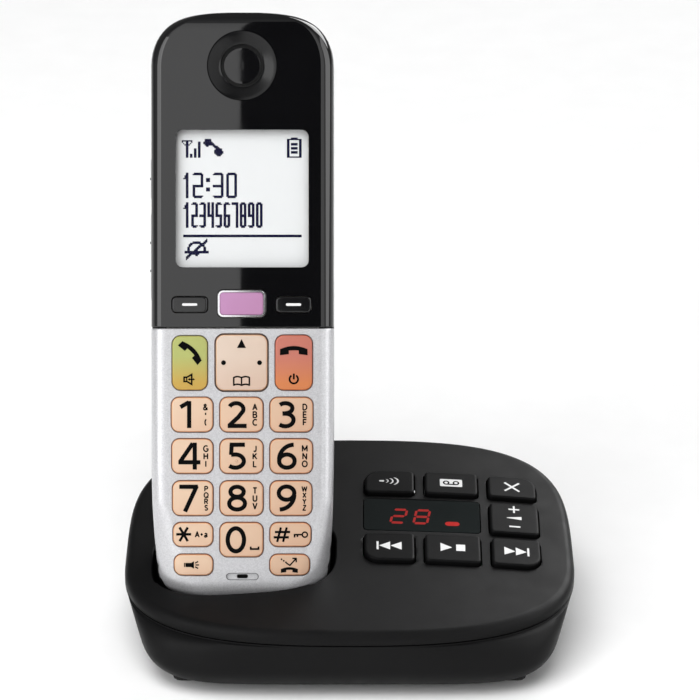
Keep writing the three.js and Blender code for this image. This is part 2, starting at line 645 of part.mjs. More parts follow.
function buildHandset() {
  const handset = new THREE.Group();
  const add = (name, solid, slot) => addPiece(handset, name, solid, slot);
  add("handset_upper_bezel", upperBezel(), "glossy_black");
  add("handset_lower_cover", lowerCover(), "silver");
  add("handset_rear_shell", rearShell(), "charcoal");
  add("battery_door", prism(DOOR_BOUNDS, even(4), 24.4, THICKNESS), "charcoal");
  add("lcd_window", prism(SCREEN_BOUNDS, SCREEN_RADII, 0.05, 1.05), "window");
  add("lcd_panel", box(-19.4, 19.4, 2.1, 4.3, 90.4, 131.9), "screen");
  add("earpiece_cap", earpieceCap(), "glossy_black");
  add("earpiece_speaker", disc(0, EARPIECE_HEIGHT, 9.5, 4.8, 8.6), "steel");
  add("microphone", disc(0, MICROPHONE_HEIGHT, 2.6, 3.9, 5.7, 20), "steel");
  add("keypad_mat", keypadMat(), "mat");
  add("handset_board", handsetBoard(), "board");
  add("battery_cell_1", batteryCell(-1), "cell");
  add("battery_cell_2", batteryCell(1), "cell");
  add("handset_contact_left", contactPlate(-1), "contact");
  add("handset_contact_right", contactPlate(1), "contact");
  add("torch_lens", lensBarrel(2.8, HIGH_END - 3.6, HIGH_END - 0.6), "window");
  for (const [name, { bounds, radii, slot }] of Object.entries(HANDSET_KEYS)) {
    add(name, keyCap(bounds, radii), slot);
  }
  add("nav_key", navKey(), "key_peach");
  add("nav_pivot", navPivot(), "mat");
  for (const [name, [z0, z1]] of Object.entries(SIDE_KEYS)) {
    add(name, sideKey(z0, z1), "satin_black");
  }
  handset.applyMatrix4(handsetMatrix);
  return handset;
}

function buildBase() {
  const base = new THREE.Group();
  const add = (name, solid, slot) => addPiece(base, name, solid, slot);
  add("base_top_cover", topCover(), "charcoal");
  add("base_bottom_case", bottomCase(), "charcoal");
  add("display_window", topBlock(DISPLAY_BOUNDS, even(1.2), -1.1, -0.1), "glossy_black");
  add("display_module", topBlock([6.5, 35.7, 9.2, 20], even(0.4), -4.6, -1.5), "display");
  add("base_board", box(3, 48, -16, 29.5, 8, 9.6), "board");
  add("base_speaker", baseSpeaker(), "steel");
  add("cradle_contact_left", cradleSlot(-1), "contact");
  add("cradle_contact_right", cradleSlot(1), "contact");
  for (const [name, bounds] of Object.entries(FEET)) {
    add(name, footBlock(bounds, 0, 0, FOOT_TOP), "rubber");
  }
  add("dc_jack", powerInlet(), "satin_black");
  add("line_jack", lineSocket(), "satin_black");
  for (const [name, { bounds, radii }] of Object.entries(BASE_KEYS)) {
    add(name, topBlock(bounds, radii, -2.8, 1.4, 0, 0.6), "satin_black");
  }
  return base;
}

const phone = new THREE.Group();
phone.add(buildBase(), buildHandset());

// The object's frame: z = 0 on the table, the middle of its length and width at the origin.
const bounds = new THREE.Box3().setFromObject(phone, true);
const middle = bounds.getCenter(new THREE.Vector3());
phone.position.set(-middle.x, -middle.y, -bounds.min.z);

const cordlessPhone = new THREE.Group();
cordlessPhone.name = "cordless_phone";
cordlessPhone.add(phone);
export default cordlessPhone;
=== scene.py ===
"""Looks of the cordless telephone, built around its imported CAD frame.

Shapes are worked out in millimetres in two local frames, the base's and the handset's, and turned
into metres when a piece is made. The places of both frames and of every key come from the CAD nodes.
"""

import math

import bpy
import numpy as np
from mathutils import Matrix, Vector
from mathutils.geometry import delaunay_2d_cdt


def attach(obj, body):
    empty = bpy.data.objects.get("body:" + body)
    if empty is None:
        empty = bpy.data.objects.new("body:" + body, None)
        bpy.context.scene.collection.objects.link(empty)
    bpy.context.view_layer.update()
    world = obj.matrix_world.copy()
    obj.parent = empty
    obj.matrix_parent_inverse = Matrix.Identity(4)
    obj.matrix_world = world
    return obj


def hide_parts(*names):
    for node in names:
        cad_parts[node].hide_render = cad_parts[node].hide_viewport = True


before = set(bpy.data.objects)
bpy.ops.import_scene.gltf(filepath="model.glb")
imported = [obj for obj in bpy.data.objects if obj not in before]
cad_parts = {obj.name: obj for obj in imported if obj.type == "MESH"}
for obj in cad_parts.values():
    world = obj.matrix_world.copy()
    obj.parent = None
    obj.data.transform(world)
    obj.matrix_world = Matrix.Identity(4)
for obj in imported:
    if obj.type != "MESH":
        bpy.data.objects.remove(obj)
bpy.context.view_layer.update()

MM = 0.001

# Base, in its own frame: z up from the table, y = 0 on the widest line.
BASE_HALF_WIDTH = 64.65
BASE_FRONT = 39.5
BASE_REAR = 53.0
FRONT_POWER = 2.42
REAR_POWER = 4.06
TOP_HEIGHT = 27.3
TOP_SLOPE = 0.144
TOP_DOME_RADIUS = 561.0
TOP_FILLET = 2.4
SEAM_DROP = 3.5
SEAM_GAP = 0.3
SEAM_ROUND = 0.25
COVER_WALL = 2.0
CASE_WALL = 2.2
CASE_BOTTOM = 0.8
CASE_LOW_HALF_WIDTH = 56.7
CASE_LOW_FRONT = 39.0
CASE_LOW_REAR = 51.0
CASE_LOW_POWER = 6.2
CASE_LOW_RADIUS = 12.0
CASE_TAPER_POWER = 0.75
PLAN_POINTS = 240

# Openings of the base: each socket has its middle across, half width, bottom and top.
SOCKETS = ((-6.0, 4.9, 7.1, 16.9), (14.0, 6.9, 6.1, 18.4))
SPEAKER = (-30.0, 21.0)
SPEAKER_SLOT = (0.8, 9.0)
SPEAKER_PITCH = 4.5
LABEL = (-21, 23, -26, -5)
FEET = ("foot_front_left", "foot_front_right", "foot_rear_left", "foot_rear_right")
SCREWS = ((-40.0, -8.0), (44.0, -8.0), (-44.0, 20.0), (20.0, 22.0))

# Handset, in its own frame: z up the handset, y in from its face, z = 0 at the lip of the cradle.
LEAN = math.radians(25)
HALF_WIDTH = 25.8
THICKNESS = 26.0
LOW_END = -5.0
LOW_END_LENGTH = 10.0
LOW_TAPER = 2.1
LOW_TAPER_TOP = 40.0
HIGH_END = 163.6
HIGH_END_LENGTH = 15.0
SHELL_WALL = 1.8
PARTING_DEPTH = 7.0
COVER_JOINT = 74.7
GAP = 0.3
EDGE_ROUND = 0.35
CORNER_STEPS = 12
EARPIECE_HEIGHT = 148.5
EARPIECE_RADIUS = 5.1
CONTACT_X = 3.6
GRILLE_HEIGHT = 127
GRILLE_PITCH = 2.2
MICROPHONE_HEIGHT = 4.6
BAY = (-11.4, 11.4, 35.3, 81.2)
BAY_FLOOR = 12.2
DOOR_CORNER = 4.0

# Keys.
KEY_PROUD = 0.6
KEY_BEVEL = 0.45
KEY_FOOT = 2.3
KEY_GAP = 0.35
KEY_CORNER = 2.2
CALL_CORNER = 2.4
SOFTKEY_CORNER = 1.2
OK_CORNER = 1.7
WINDOW_CORNER = 1.9
BASE_KEY_PROUD = 1.4
BASE_KEY_BEVEL = 0.6
BASE_KEY_FOOT = 2.8
BASE_CORNER = 1.4
WIDE_CORNER = 4.5
WIDE_CORNERS = {"key_rewind": 0, "key_forward": 1, "key_erase": 2, "key_locator": 3}
OK_FRAME = 0.74

# Cradle well.
WELL_CLEARANCE = 0.35
WELL_LIP_DEPTH = 15.0
WELL_LIP_POWER = 2.85
WELL_FLOOR = -5.4
WELL_WALL = 1.7
WELL_NARROWING = 2.0
WELL_ROUND = 0.7

PRINT_HEIGHT = 0.05
PRINT_DEPTH = 0.15

# ---- Frames ----


def node_points(node):
    return np.array([v.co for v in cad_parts[node].data.vertices]) / MM


SHIFT = node_points("base_top_cover")[:, 1].min() + BASE_FRONT
ACROSS = np.array((1.0, 0.0, 0.0))
INWARD = np.array((0.0, math.cos(LEAN), -math.sin(LEAN)))
UPWARD = np.array((0.0, math.sin(LEAN), math.cos(LEAN)))
HANDSET_AXES = np.array((ACROSS, INWARD, UPWARD))
LCD_MIDDLE = np.array((0.0, 3.2, 111.15))
LCD_POINTS = node_points("lcd_panel")
HANDSET_ORIGIN = (LCD_POINTS.min(0) + LCD_POINTS.max(0)) / 2 - LCD_MIDDLE @ HANDSET_AXES
PLACE = HANDSET_ORIGIN - (0, SHIFT, 0)


def handset_to_world(points):
    return np.asarray(points, float) @ HANDSET_AXES + HANDSET_ORIGIN


def base_to_world(points):
    return np.asarray(points, float) + (0, SHIFT, 0)


def handset_box(node):
    """Lowest and highest corner of a CAD node in the handset's frame."""
    local = (node_points(node) - HANDSET_ORIGIN) @ HANDSET_AXES.T
    return local.min(0), local.max(0)


def top_height(x, y):
    return TOP_HEIGHT + TOP_SLOPE * y - x * x / (2 * TOP_DOME_RADIUS)


def top_frame(x, y):
    """Origin and axes of the frame on the domed top: its third axis is the surface normal."""
    normal = np.array((x / TOP_DOME_RADIUS, -TOP_SLOPE, 1.0))
    normal /= np.linalg.norm(normal)
    across = np.array((1.0, 0.0, -x / TOP_DOME_RADIUS))
    across /= np.linalg.norm(across)
    return np.array((x, y, top_height(x, y))), np.array((across, np.cross(normal, across), normal))


def top_box(node):
    """The middle of a CAD node on the domed top, and its half sizes there."""
    points = node_points(node) - (0, SHIFT, 0)
    middle = (points.min(0) + points.max(0)) / 2
    for _ in range(3):
        origin, axes = top_frame(*middle[:2])
        local = (points - origin) @ axes.T
        offset = (local.min(0) + local.max(0)) / 2
        middle = middle + (offset[0], offset[1], 0)
    half = (local.max(0) - local.min(0)) / 2
    return middle[0], middle[1], half[0], half[1]


# ---- Solids: a solid is a pair of points in millimetres and faces that look out ----


def oriented(points, faces):
    points = np.asarray(points, float)
    volume = 0.0
    for face in faces:
        for b, c in zip(face[1:-1], face[2:]):
            volume += np.dot(points[face[0]], np.cross(points[b], points[c]))
    return points, [tuple(reversed(f)) for f in faces] if volume < 0 else [tuple(f) for f in faces]


def loft(rings):
    """Closes a stack of rings with the same number of points into one solid."""
    count = len(rings[0])
    points = [np.asarray(ring, float) for ring in rings]
    faces = []
    for r in range(len(rings) - 1):
        for i in range(count):
            a = r * count + i
            b = r * count + (i + 1) % count
            faces.append((a, b, b + count, a + count))
    total = count * len(rings)
    for start, ring, flip in ((0, points[0], True), (total - count, points[-1], False)):
        centre = total + (0 if flip else 1)
        for i in range(count):
            a, b = start + i, start + (i + 1) % count
            faces.append((centre, b, a) if flip else (centre, a, b))
    middles = np.array((points[0].mean(0), points[-1].mean(0)))
    return oriented(np.vstack(points + [middles]), faces)


def together(*solids):
    """Several solids that don't touch, as one."""
    points, faces, start = [], [], 0
    for solid_points, solid_faces in solids:
        points.append(solid_points)
        faces += [tuple(i + start for i in face) for face in solid_faces]
        start += len(solid_points)
    return np.vstack(points), faces


def moved(solid, change):
    points, faces = solid
    return oriented(change(points), faces)


def block(x0, x1, y0, y1, z0, z1):
    ring = [(x0, y0), (x1, y0), (x1, y1), (x0, y1)]
    return loft([[(x, y, z) for x, y in ring] for z in (z0, z1)])


def rounded(x0, x1, v0, v1, radii, inset=0.0, steps=8, straight=0):
    """Outline of a rectangle with one radius or one for each corner, anticlockwise from low-left."""
    corners = ((x0, v0, 1, 1, 2), (x1, v0, -1, 1, 3), (x1, v1, -1, -1, 0), (x0, v1, 1, -1, 1))
    outline = []
    for (x, v, sx, sv, quarter), corner in zip(corners, np.broadcast_to(radii, 4)):
        radius = max(corner - inset, 0.15)
        cx, cv = x + sx * (inset + radius), v + sv * (inset + radius)
        for i in range(steps + 1):
            angle = (quarter + i / steps) * math.pi / 2
            outline.append((cx + radius * math.cos(angle), cv + radius * math.sin(angle)))
    if not straight:
        return np.array(outline)
    filled = []
    for i, point in enumerate(outline):
        filled.append(point)
        if i % (steps + 1) == steps:
            after = outline[(i + 1) % len(outline)]
            for k in range(1, straight + 1):
                share = k / (straight + 1)
                filled.append(tuple(p + (q - p) * share for p, q in zip(point, after)))
    return np.array(filled)


def circle(radius, count):
    angles = np.arange(count) * 2 * math.pi / count
    return np.stack((radius * np.cos(angles), radius * np.sin(angles)), 1)


def box_outline(box, radius, inset=0.0, straight=0):
    """The outline of a box of the handset's frame, seen from the front."""
    low, high = box
    return rounded(low[0], high[0], low[2], high[2], radius, inset, straight=straight)


def flat_ring(outline, z):
    """An outline in x and y at a height."""
    return np.column_stack((outline, np.full(len(outline), float(z))))


def upright_ring(outline, y):
    """An outline in x and z at a depth."""
    return np.stack((outline[:, 0], np.full(len(outline), float(y)), outline[:, 1]), 1)


def prism(outline, ends, place=flat_ring):
    """A straight solid between two places of an outline."""
    return loft([place(outline, end) for end in ends])


def turned(x, v, profile, count=64, place=upright_ring):
    """A solid turned about the axis through (x, v): the profile lists (radius, place on the axis)."""
    return loft([place(circle(max(radius, 0.01), count) + (x, v), end) for radius, end in profile])


def rounding(radius, count, start=0.0):
    """Steps round a quarter circle: how far it has moved in, and how far it has moved along."""
    turns = np.linspace(start, math.pi / 2, count)
    return [(radius * (1 - math.cos(t)), radius * math.sin(t)) for t in turns]


def mouth(edge):
    """Steps round a hole's mouth: how far it flares out, and its height over the surface."""
    turns = np.linspace(0, math.radians(70), 5)
    return [(edge * (1 - math.cos(t)), edge * (math.sin(t) - 1)) for t in turns] + [(edge * 1.5, edge * 0.4)]


def roll(share):
    """How far a quarter circle of radius 1 has fallen at a share of its width."""
    return 1 - np.sqrt(np.maximum(1 - np.asarray(share, float) ** 2, 0))


def temporary(solid):
    points, faces = solid
    mesh = bpy.data.meshes.new("solid")
    mesh.from_pydata((points * MM).tolist(), [], faces)
    mesh.update()
    piece = bpy.data.objects.new("solid", mesh)
    bpy.context.scene.collection.objects.link(piece)
    return piece


CUT, JOIN, KEEP = "DIFFERENCE", "UNION", "INTERSECT"


def combined(start, *steps):
    """Joins and cuts solids: each step is an operation and a solid. Gives a solid."""
    target = temporary(start)
    helpers = []
    for operation, solid in steps:
        helper = temporary(solid)
        helpers.append(helper)
        modifier = target.modifiers.new(operation, "BOOLEAN")
        modifier.operation = operation
        modifier.solver = "MANIFOLD"
        modifier.object = helper
    graph = bpy.context.evaluated_depsgraph_get()
    mesh = bpy.data.meshes.new_from_object(target.evaluated_get(graph))
    points = np.array([v.co for v in mesh.vertices]) / MM
    faces = [tuple(p.vertices) for p in mesh.polygons]
    bpy.data.meshes.remove(mesh)
    for piece in [target, *helpers]:
        data = piece.data
        bpy.data.objects.remove(piece)
        bpy.data.meshes.remove(data)
    return points, faces


def piece_from(name, solid, body, material, replaces=(), slot=None, sharp=32, weighted=False, marks=None):
    """Makes a shown piece of a solid in world millimetres, riding on a body."""
    points, faces = solid
    mesh = bpy.data.meshes.new(name)
    mesh.from_pydata((points * MM).tolist(), [], faces)
    for key, values in (marks or {}).items():
        attribute = mesh.attributes.new(key, "FLOAT", "POINT")
        attribute.data.foreach_set("value", np.asarray(values, np.float32))
    mesh.polygons.foreach_set("use_smooth", [True] * len(mesh.polygons))
    mesh.set_sharp_from_angle(angle=math.radians(sharp))
    mesh.update()
    mesh.materials.append(material)
    piece = bpy.data.objects.new(name, mesh)
    bpy.context.scene.collection.objects.link(piece)
    if weighted:
        modifier = piece.modifiers.new("even_shading", "WEIGHTED_NORMAL")
        modifier.keep_sharp = True
    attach(piece, body)
    if replaces:
        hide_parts(*replaces)
    return piece


def handset_piece(name, solid, *details, **options):
    """A piece of a solid in the handset's frame."""
    return piece_from(name, moved(solid, handset_to_world), *details, **options)


def base_piece(name, solid, *details, **options):
    """A piece of a solid in the base's frame."""
    return piece_from(name, moved(solid, base_to_world), *details, **options)


# ---- Materials ----


def new_material(name, **sockets):
    """A material and its parts; sockets sets plain values on the shader itself."""
    material = bpy.data.materials.new(name)
    material.use_nodes = True
    tree = material.node_tree
    shader = tree.nodes["Principled BSDF"]
    for socket, value in sockets.items():
        shader.inputs[socket.replace("_", " ")].default_value = value
    place = tree.nodes.new("ShaderNodeTexCoord").outputs["Object"]
    return material, tree, shader, place


def noise(tree, place, scale, detail=3.0):
    node = tree.nodes.new("ShaderNodeTexNoise")
    node.inputs["Scale"].default_value = scale
    node.inputs["Detail"].default_value = detail
    tree.links.new(place, node.inputs["Vector"])
    return node.outputs["Fac"]


def ramp(tree, value, stops):
    node = tree.nodes.new("ShaderNodeValToRGB")
    while len(node.color_ramp.elements) < len(stops):
        node.color_ramp.elements.new(0.5)
    for element, (position, colour) in zip(node.color_ramp.elements, stops):
        element.position = position
        element.color = (*colour, 1.0)
    tree.links.new(value, node.inputs["Fac"])
    return node.outputs["Color"]


def spread(tree, value, low, high, from_low=0.3, from_high=0.7):
    node = tree.nodes.new("ShaderNodeMapRange")
    node.inputs["From Min"].default_value = from_low
    node.inputs["From Max"].default_value = from_high
    node.inputs["To Min"].default_value = low
    node.inputs["To Max"].default_value = high
    tree.links.new(value, node.inputs["Value"])
    return node.outputs["Result"]


def bump(tree, height, shader, strength, distance):
    node = tree.nodes.new("ShaderNodeBump")
    node.inputs["Strength"].default_value = strength
    node.inputs["Distance"].default_value = distance
    tree.links.new(height, node.inputs["Height"])
    tree.links.new(node.outputs["Normal"], shader.inputs["Normal"])


def shade(colour, factor):
    return tuple(min(c * factor, 1.0) for c in colour)


def mark(tree, name):
    """A number that the mesh carries at each of its points."""
    node = tree.nodes.new("ShaderNodeAttribute")
    node.attribute_name = name
    return node.outputs["Fac"]


def worn(tree, place, shader, scale, low, high):
    """A roughness that varies in patches."""
    wear = spread(tree, noise(tree, place, scale), low, high)
    tree.links.new(wear, shader.inputs["Roughness"])


def moulded(name, colour, rough, grain=2600.0, depth=0.00002, vary=0.12, rough_vary=0.06, **sockets):
    """Moulded plastic or rubber: a fine grain, with slight patches in its colour and roughness."""
    material, tree, shader, place = new_material(name, **sockets)
    patches = noise(tree, place, 55.0)
    tint = ramp(tree, patches, ((0.3, shade(colour, 1 - vary)), (0.7, shade(colour, 1 + vary))))
    tree.links.new(tint, shader.inputs["Base Color"])
    worn(tree, place, shader, 140.0, rough - rough_vary, rough + rough_vary)
    bump(tree, noise(tree, place, grain, 2.0), shader, 0.5, depth)
    return material


def silver_paint():
    """Metallic paint: small bright and dark flakes in an even silver."""
    material, tree, shader, place = new_material("silver_paint", Metallic=0.55, Specular_IOR_Level=0.5)
    flakes = tree.nodes.new("ShaderNodeTexVoronoi")
    flakes.inputs["Scale"].default_value = 4200.0
    tree.links.new(place, flakes.inputs["Vector"])
    cells = tree.nodes.new("ShaderNodeSeparateColor")
    tree.links.new(flakes.outputs["Color"], cells.inputs["Color"])
    tint = ramp(tree, cells.outputs["Red"], ((0.0, (0.52, 0.52, 0.535)), (1.0, (0.64, 0.64, 0.655))))
    tree.links.new(tint, shader.inputs["Base Color"])
    worn(tree, place, shader, 90.0, 0.30, 0.38)
    bump(tree, noise(tree, place, 2400.0, 2.0), shader, 0.35, 0.00002)
    return material


def multiplied(tree, first, second):
    mix = tree.nodes.new("ShaderNodeMix")
    mix.data_type = "RGBA"
    mix.blend_type = "MULTIPLY"
    mix.inputs["Factor"].default_value = 1.0
    tree.links.new(first, mix.inputs["A"])
    tree.links.new(second, mix.inputs["B"])
    return mix.outputs["Result"]


def key_plastic(name, low, high, rim, edge):
    """A translucent key: its colour runs from low to high, with a painted glow along its bevel and painted
    shade down its outer side.

    Over the keypad as a whole a painted shade darkens it a little towards the handset's right side, as if
    lit from the left.
    """
    material, tree, shader, place = new_material(name, Specular_IOR_Level=0.45)
    face = ramp(tree, mark(tree, "rise"), ((0.12, low), (0.62, high)))
    # painted glow on the bevel, then painted shade on the outer side, by nearness to the key's edge
    glow = ramp(tree, mark(tree, "rim"), ((0.0, (1.0, 1.0, 1.0)), (0.42, rim), (0.72, edge), (1.0, edge)))
    split = tree.nodes.new("ShaderNodeSeparateXYZ")
    tree.links.new(place, split.inputs["Vector"])
    # painted shade: darker towards the handset's right side, as if the light came from the left
    side = spread(tree, split.outputs["X"], 0.0, 1.0, -0.050, -0.010)
    depth = ramp(tree, side, ((0.0, (1.0, 1.0, 1.0)), (1.0, (0.82, 0.74, 0.70))))
    tinted = multiplied(tree, multiplied(tree, face, glow), depth)
    tree.links.new(tinted, shader.inputs["Base Color"])
    worn(tree, place, shader, 160.0, 0.36, 0.5)
    bump(tree, noise(tree, place, 1800.0, 2.0), shader, 0.3, 0.00001)
    return material


def lcd_glass():
    """The pale backing of the screen, with a painted shadow that darkens it towards its edges."""
    material, tree, shader, place = new_material("lcd_backing", Specular_IOR_Level=0.2)
    # painted shadow: pale in the middle, darker towards the edges of the recess
    stops = (
        (0.0, (0.83, 0.845, 0.85)), (0.3, (0.72, 0.73, 0.73)),
        (0.6, (0.5, 0.5, 0.5)), (1.0, (0.16, 0.16, 0.16)),
    )
    tree.links.new(ramp(tree, mark(tree, "rim"), stops), shader.inputs["Base Color"])
    worn(tree, place, shader, 400.0, 0.45, 0.6)
    return material


def glowing(name, colour, strength):
    dark = (0.05, 0.01, 0.01, 1.0)
    material, tree, shader, place = new_material(
        name, Roughness=0.6, Emission_Strength=strength, Base_Color=dark, Specular_IOR_Level=0.05
    )
    tint = ramp(tree, noise(tree, place, 900.0), ((0.3, shade(colour, 0.8)), (0.7, colour)))
    tree.links.new(tint, shader.inputs["Emission Color"])
    return material


CHARCOAL = moulded("charcoal_plastic", (0.0045, 0.0045, 0.0047), 0.48, vary=0.07, Specular_IOR_Level=0.12)
GLOSS = moulded("gloss_black", (0.0035, 0.0035, 0.004), 0.022, 300.0, 0.0000001, 0.1, 0.008, IOR=1.55)
SATIN = moulded("satin_black", (0.0042, 0.0042, 0.0044), 0.42, vary=0.1, Specular_IOR_Level=0.07)
SOFTKEY = moulded("softkey_black", (0.006, 0.006, 0.0065), 0.1, 500.0, 0.000001, 0.08, 0.03)
DISH = moulded(
    "earpiece_black", (0.003, 0.003, 0.0033), 0.2, 900.0, 0.000002, 0.1, 0.04, Specular_IOR_Level=0.3
)
SMOKED = moulded(
    "smoked_window", (0.0065, 0.0095, 0.0095), 0.07, 500.0, 0.0000004, 0.15, 0.02, Specular_IOR_Level=0.3
)
SILVER = silver_paint()
CHROME = moulded("chrome", (0.82, 0.82, 0.84), 0.08, 900.0, 0.000001, 0.03, 0.02, Metallic=1.0)
# each key's last two colours are its painted glow on the bevel and its painted shade at the outer edge
PEACH = key_plastic(
    "key_peach", (0.64, 0.44, 0.31), (0.655, 0.475, 0.34), (0.9, 0.66, 0.48), (0.58, 0.27, 0.16)
)
NAV = key_plastic("key_pale", (0.60, 0.46, 0.37), (0.64, 0.53, 0.44), (0.9, 0.7, 0.5), (0.50, 0.28, 0.18))
TALK = key_plastic(
    "key_green", (0.47, 0.30, 0.057), (0.37, 0.40, 0.125), (0.95, 0.85, 0.7), (0.55, 0.45, 0.35)
)
END = key_plastic("key_red", (0.60, 0.21, 0.07), (0.52, 0.18, 0.135), (1.0, 0.85, 0.7), (0.6, 0.42, 0.36))
PINK = key_plastic("key_pink", (0.45, 0.225, 0.42), (0.45, 0.23, 0.425), (0.95, 0.9, 0.95), (0.6, 0.5, 0.6))
INK = moulded("black_print", (0.0012, 0.0012, 0.0012), 0.6, vary=0.2, Specular_IOR_Level=0.06)
WHITE = moulded("white_print", (0.74, 0.74, 0.74), 0.5, vary=0.04)
NAVY = moulded("lcd_navy", (0.003, 0.003, 0.03), 0.6, vary=0.1, Specular_IOR_Level=0.1)
LCD = lcd_glass()
LED = glowing("led_red", (0.62, 0.016, 0.012), 0.55)
LED_BAR = glowing("led_bar", (0.75, 0.018, 0.013), 0.66)
RUBBER = moulded("rubber", (0.012, 0.012, 0.012), 0.8, 1500.0, 0.00004)
GOLD = moulded("gold_contact", (0.75, 0.55, 0.26), 0.25, 700.0, 0.000002, 0.06, 0.05, Metallic=1.0)
STEEL = moulded("steel", (0.5, 0.5, 0.52), 0.32, 800.0, 0.000004, 0.06, 0.08, Metallic=1.0)
BOARD = moulded("board_green", (0.012, 0.09, 0.03), 0.45, 900.0, 0.00001)
MAT = moulded("silicone_mat", (0.62, 0.60, 0.56), 0.7)
CELL = moulded("cell_sleeve", (0.10, 0.22, 0.06), 0.3, 900.0, 0.000004, 0.1, 0.05, Metallic=0.3)
GREY = moulded("grey_plate", (0.10, 0.10, 0.104), 0.5, vary=0.05)


def clear_window():
    material, tree, shader, place = new_material("clear_window", Alpha=0.06, IOR=1.45)
    worn(tree, place, shader, 200.0, 0.02, 0.06)
    tint = ramp(tree, noise(tree, place, 60.0), ((0.3, (0.03, 0.032, 0.034)), (0.7, (0.05, 0.052, 0.054))))
    tree.links.new(tint, shader.inputs["Base Color"])
    return material


CLEAR = clear_window()

# ---- Base ----


def base_plan(half_width, front, rear, front_power, count=PLAN_POINTS):
    """The base's plan: two half superellipses that meet on its widest line."""
    angles = np.arange(count) * 2 * math.pi / count
    c, s = np.cos(angles), np.sin(angles)
    power = np.where(s < 0, front_power, REAR_POWER)
    x = np.sign(c) * np.abs(c) ** (2 / power) * half_width
    y = np.sign(s) * np.abs(s) ** (2 / power) * np.where(s < 0, front, rear)
    return x, y


def cover_ring(inset, drop, share=1.0):
    sizes = [(size - inset) * share for size in (BASE_HALF_WIDTH, BASE_FRONT, BASE_REAR)]
    x, y = base_plan(*sizes, FRONT_POWER)
    return np.stack((x, y, top_height(x, y) - drop), 1)


def cover_outside():
    """The domed top with its rolled rim, down to a rounded edge at the seam."""
    rings = []
    for turn in np.linspace(0, math.pi / 2, 6):
        inset = SEAM_ROUND * (1 - math.sin(turn))
        rings.append(cover_ring(inset, SEAM_DROP - SEAM_ROUND * (1 - math.cos(turn))))
    for turn in np.linspace(0, math.pi / 2, 14):
        rings.append(cover_ring(TOP_FILLET * (1 - math.cos(turn)), TOP_FILLET * (1 - math.sin(turn))))
    for share in np.linspace(0.985, 0.03, 34):
        rings.append(cover_ring(TOP_FILLET, 0.0, share))
    return loft(rings)


def cover_inside(wall, underside):
    rings = [cover_ring(wall, underside), cover_ring(wall, wall + 1.2), cover_ring(wall + 1.2, wall)]
    rings += [cover_ring(wall + 1.2, wall, share) for share in (0.75, 0.5, 0.25)]
    return loft(rings)


def case_ring(wall, level):
    """The bottom case's outline inside a wall, at a level that runs from 0 at the seam to 1 at the foot."""
    rim_x, rim_y = base_plan(BASE_HALF_WIDTH, BASE_FRONT, BASE_REAR, FRONT_POWER)
    height = top_height(rim_x, rim_y) - SEAM_DROP - SEAM_GAP
    taper = level**CASE_TAPER_POWER
    above = (1 - level) * (TOP_HEIGHT - SEAM_DROP - CASE_BOTTOM)
    rolled = 0.9 * CASE_LOW_RADIUS * float(roll(1 - min(above / CASE_LOW_RADIUS, 1)))

    def mix(rim_value, low_value):
        return rim_value + (low_value - rim_value) * taper

    x, y = base_plan(
        mix(BASE_HALF_WIDTH, CASE_LOW_HALF_WIDTH) - rolled - wall,
        mix(BASE_FRONT, CASE_LOW_FRONT) - rolled - wall,
        mix(BASE_REAR, CASE_LOW_REAR) - 0.45 * rolled - wall,
        mix(FRONT_POWER, CASE_LOW_POWER),
    )
    return np.stack((x, y, height * (1 - level) + (CASE_BOTTOM + wall) * level), 1)


def case_outside():
    """The bottom case, with a rounded edge at the seam and a rolled foot."""
    rings = []
    for turn in np.linspace(0, math.pi / 2, 5):
        drop = SEAM_ROUND * (1 - math.cos(turn))
        rings.append(case_ring(SEAM_ROUND * (1 - math.sin(turn)), 0.0) - (0, 0, drop))
    for low, high, count in ((0.03, 0.5, 12), (0.53, 0.9, 16), (0.91, 1, 14)):
        rings += [case_ring(0.0, float(level)) for level in np.linspace(low, high, count)]
    return loft(rings)


def case_inside():
    rings = [case_ring(CASE_WALL, level) for level in (0.0, 0.3, 0.6, 0.8, 1.0)]
    return loft([rings[0] + (0, 0, 8), *rings])


def well_outline(grow, share=1.0):
    """The well across the handset's axis: a rounded lip in front and the handset's back behind."""
    half_width = (HALF_WIDTH + WELL_CLEARANCE) * share + grow
    lip, back = -0.4 - grow, THICKNESS + WELL_CLEARANCE + grow
    angles = np.linspace(math.pi, 2 * math.pi, 49)
    across = np.sign(np.cos(angles)) * np.abs(np.cos(angles)) ** (2 / WELL_LIP_POWER)
    inward = 1 - np.abs(np.sin(angles)) ** (2 / WELL_LIP_POWER)
    front = np.stack((half_width * across, lip + (WELL_LIP_DEPTH + grow) * inward), 1)
    corners = rounded(-half_width, half_width, 0, back, 8 + grow, steps=12)
    return np.vstack((front, corners[len(corners) // 2:]))


def dome_reach(outline):
    """How far up the handset's axis the domed top lies over each point of an outline."""
    x, y = PLACE[0] + outline[:, 0], PLACE[1] + outline[:, 1] * math.cos(LEAN)
    rest = TOP_HEIGHT + TOP_SLOPE * y - x * x / (2 * TOP_DOME_RADIUS) - PLACE[2]
    rest = rest + outline[:, 1] * math.sin(LEAN)
    return rest / (math.cos(LEAN) - TOP_SLOPE * math.sin(LEAN))


def from_handset(points):
    """Points of the handset's frame in the base's frame."""
    return np.asarray(points, float) @ HANDSET_AXES + PLACE


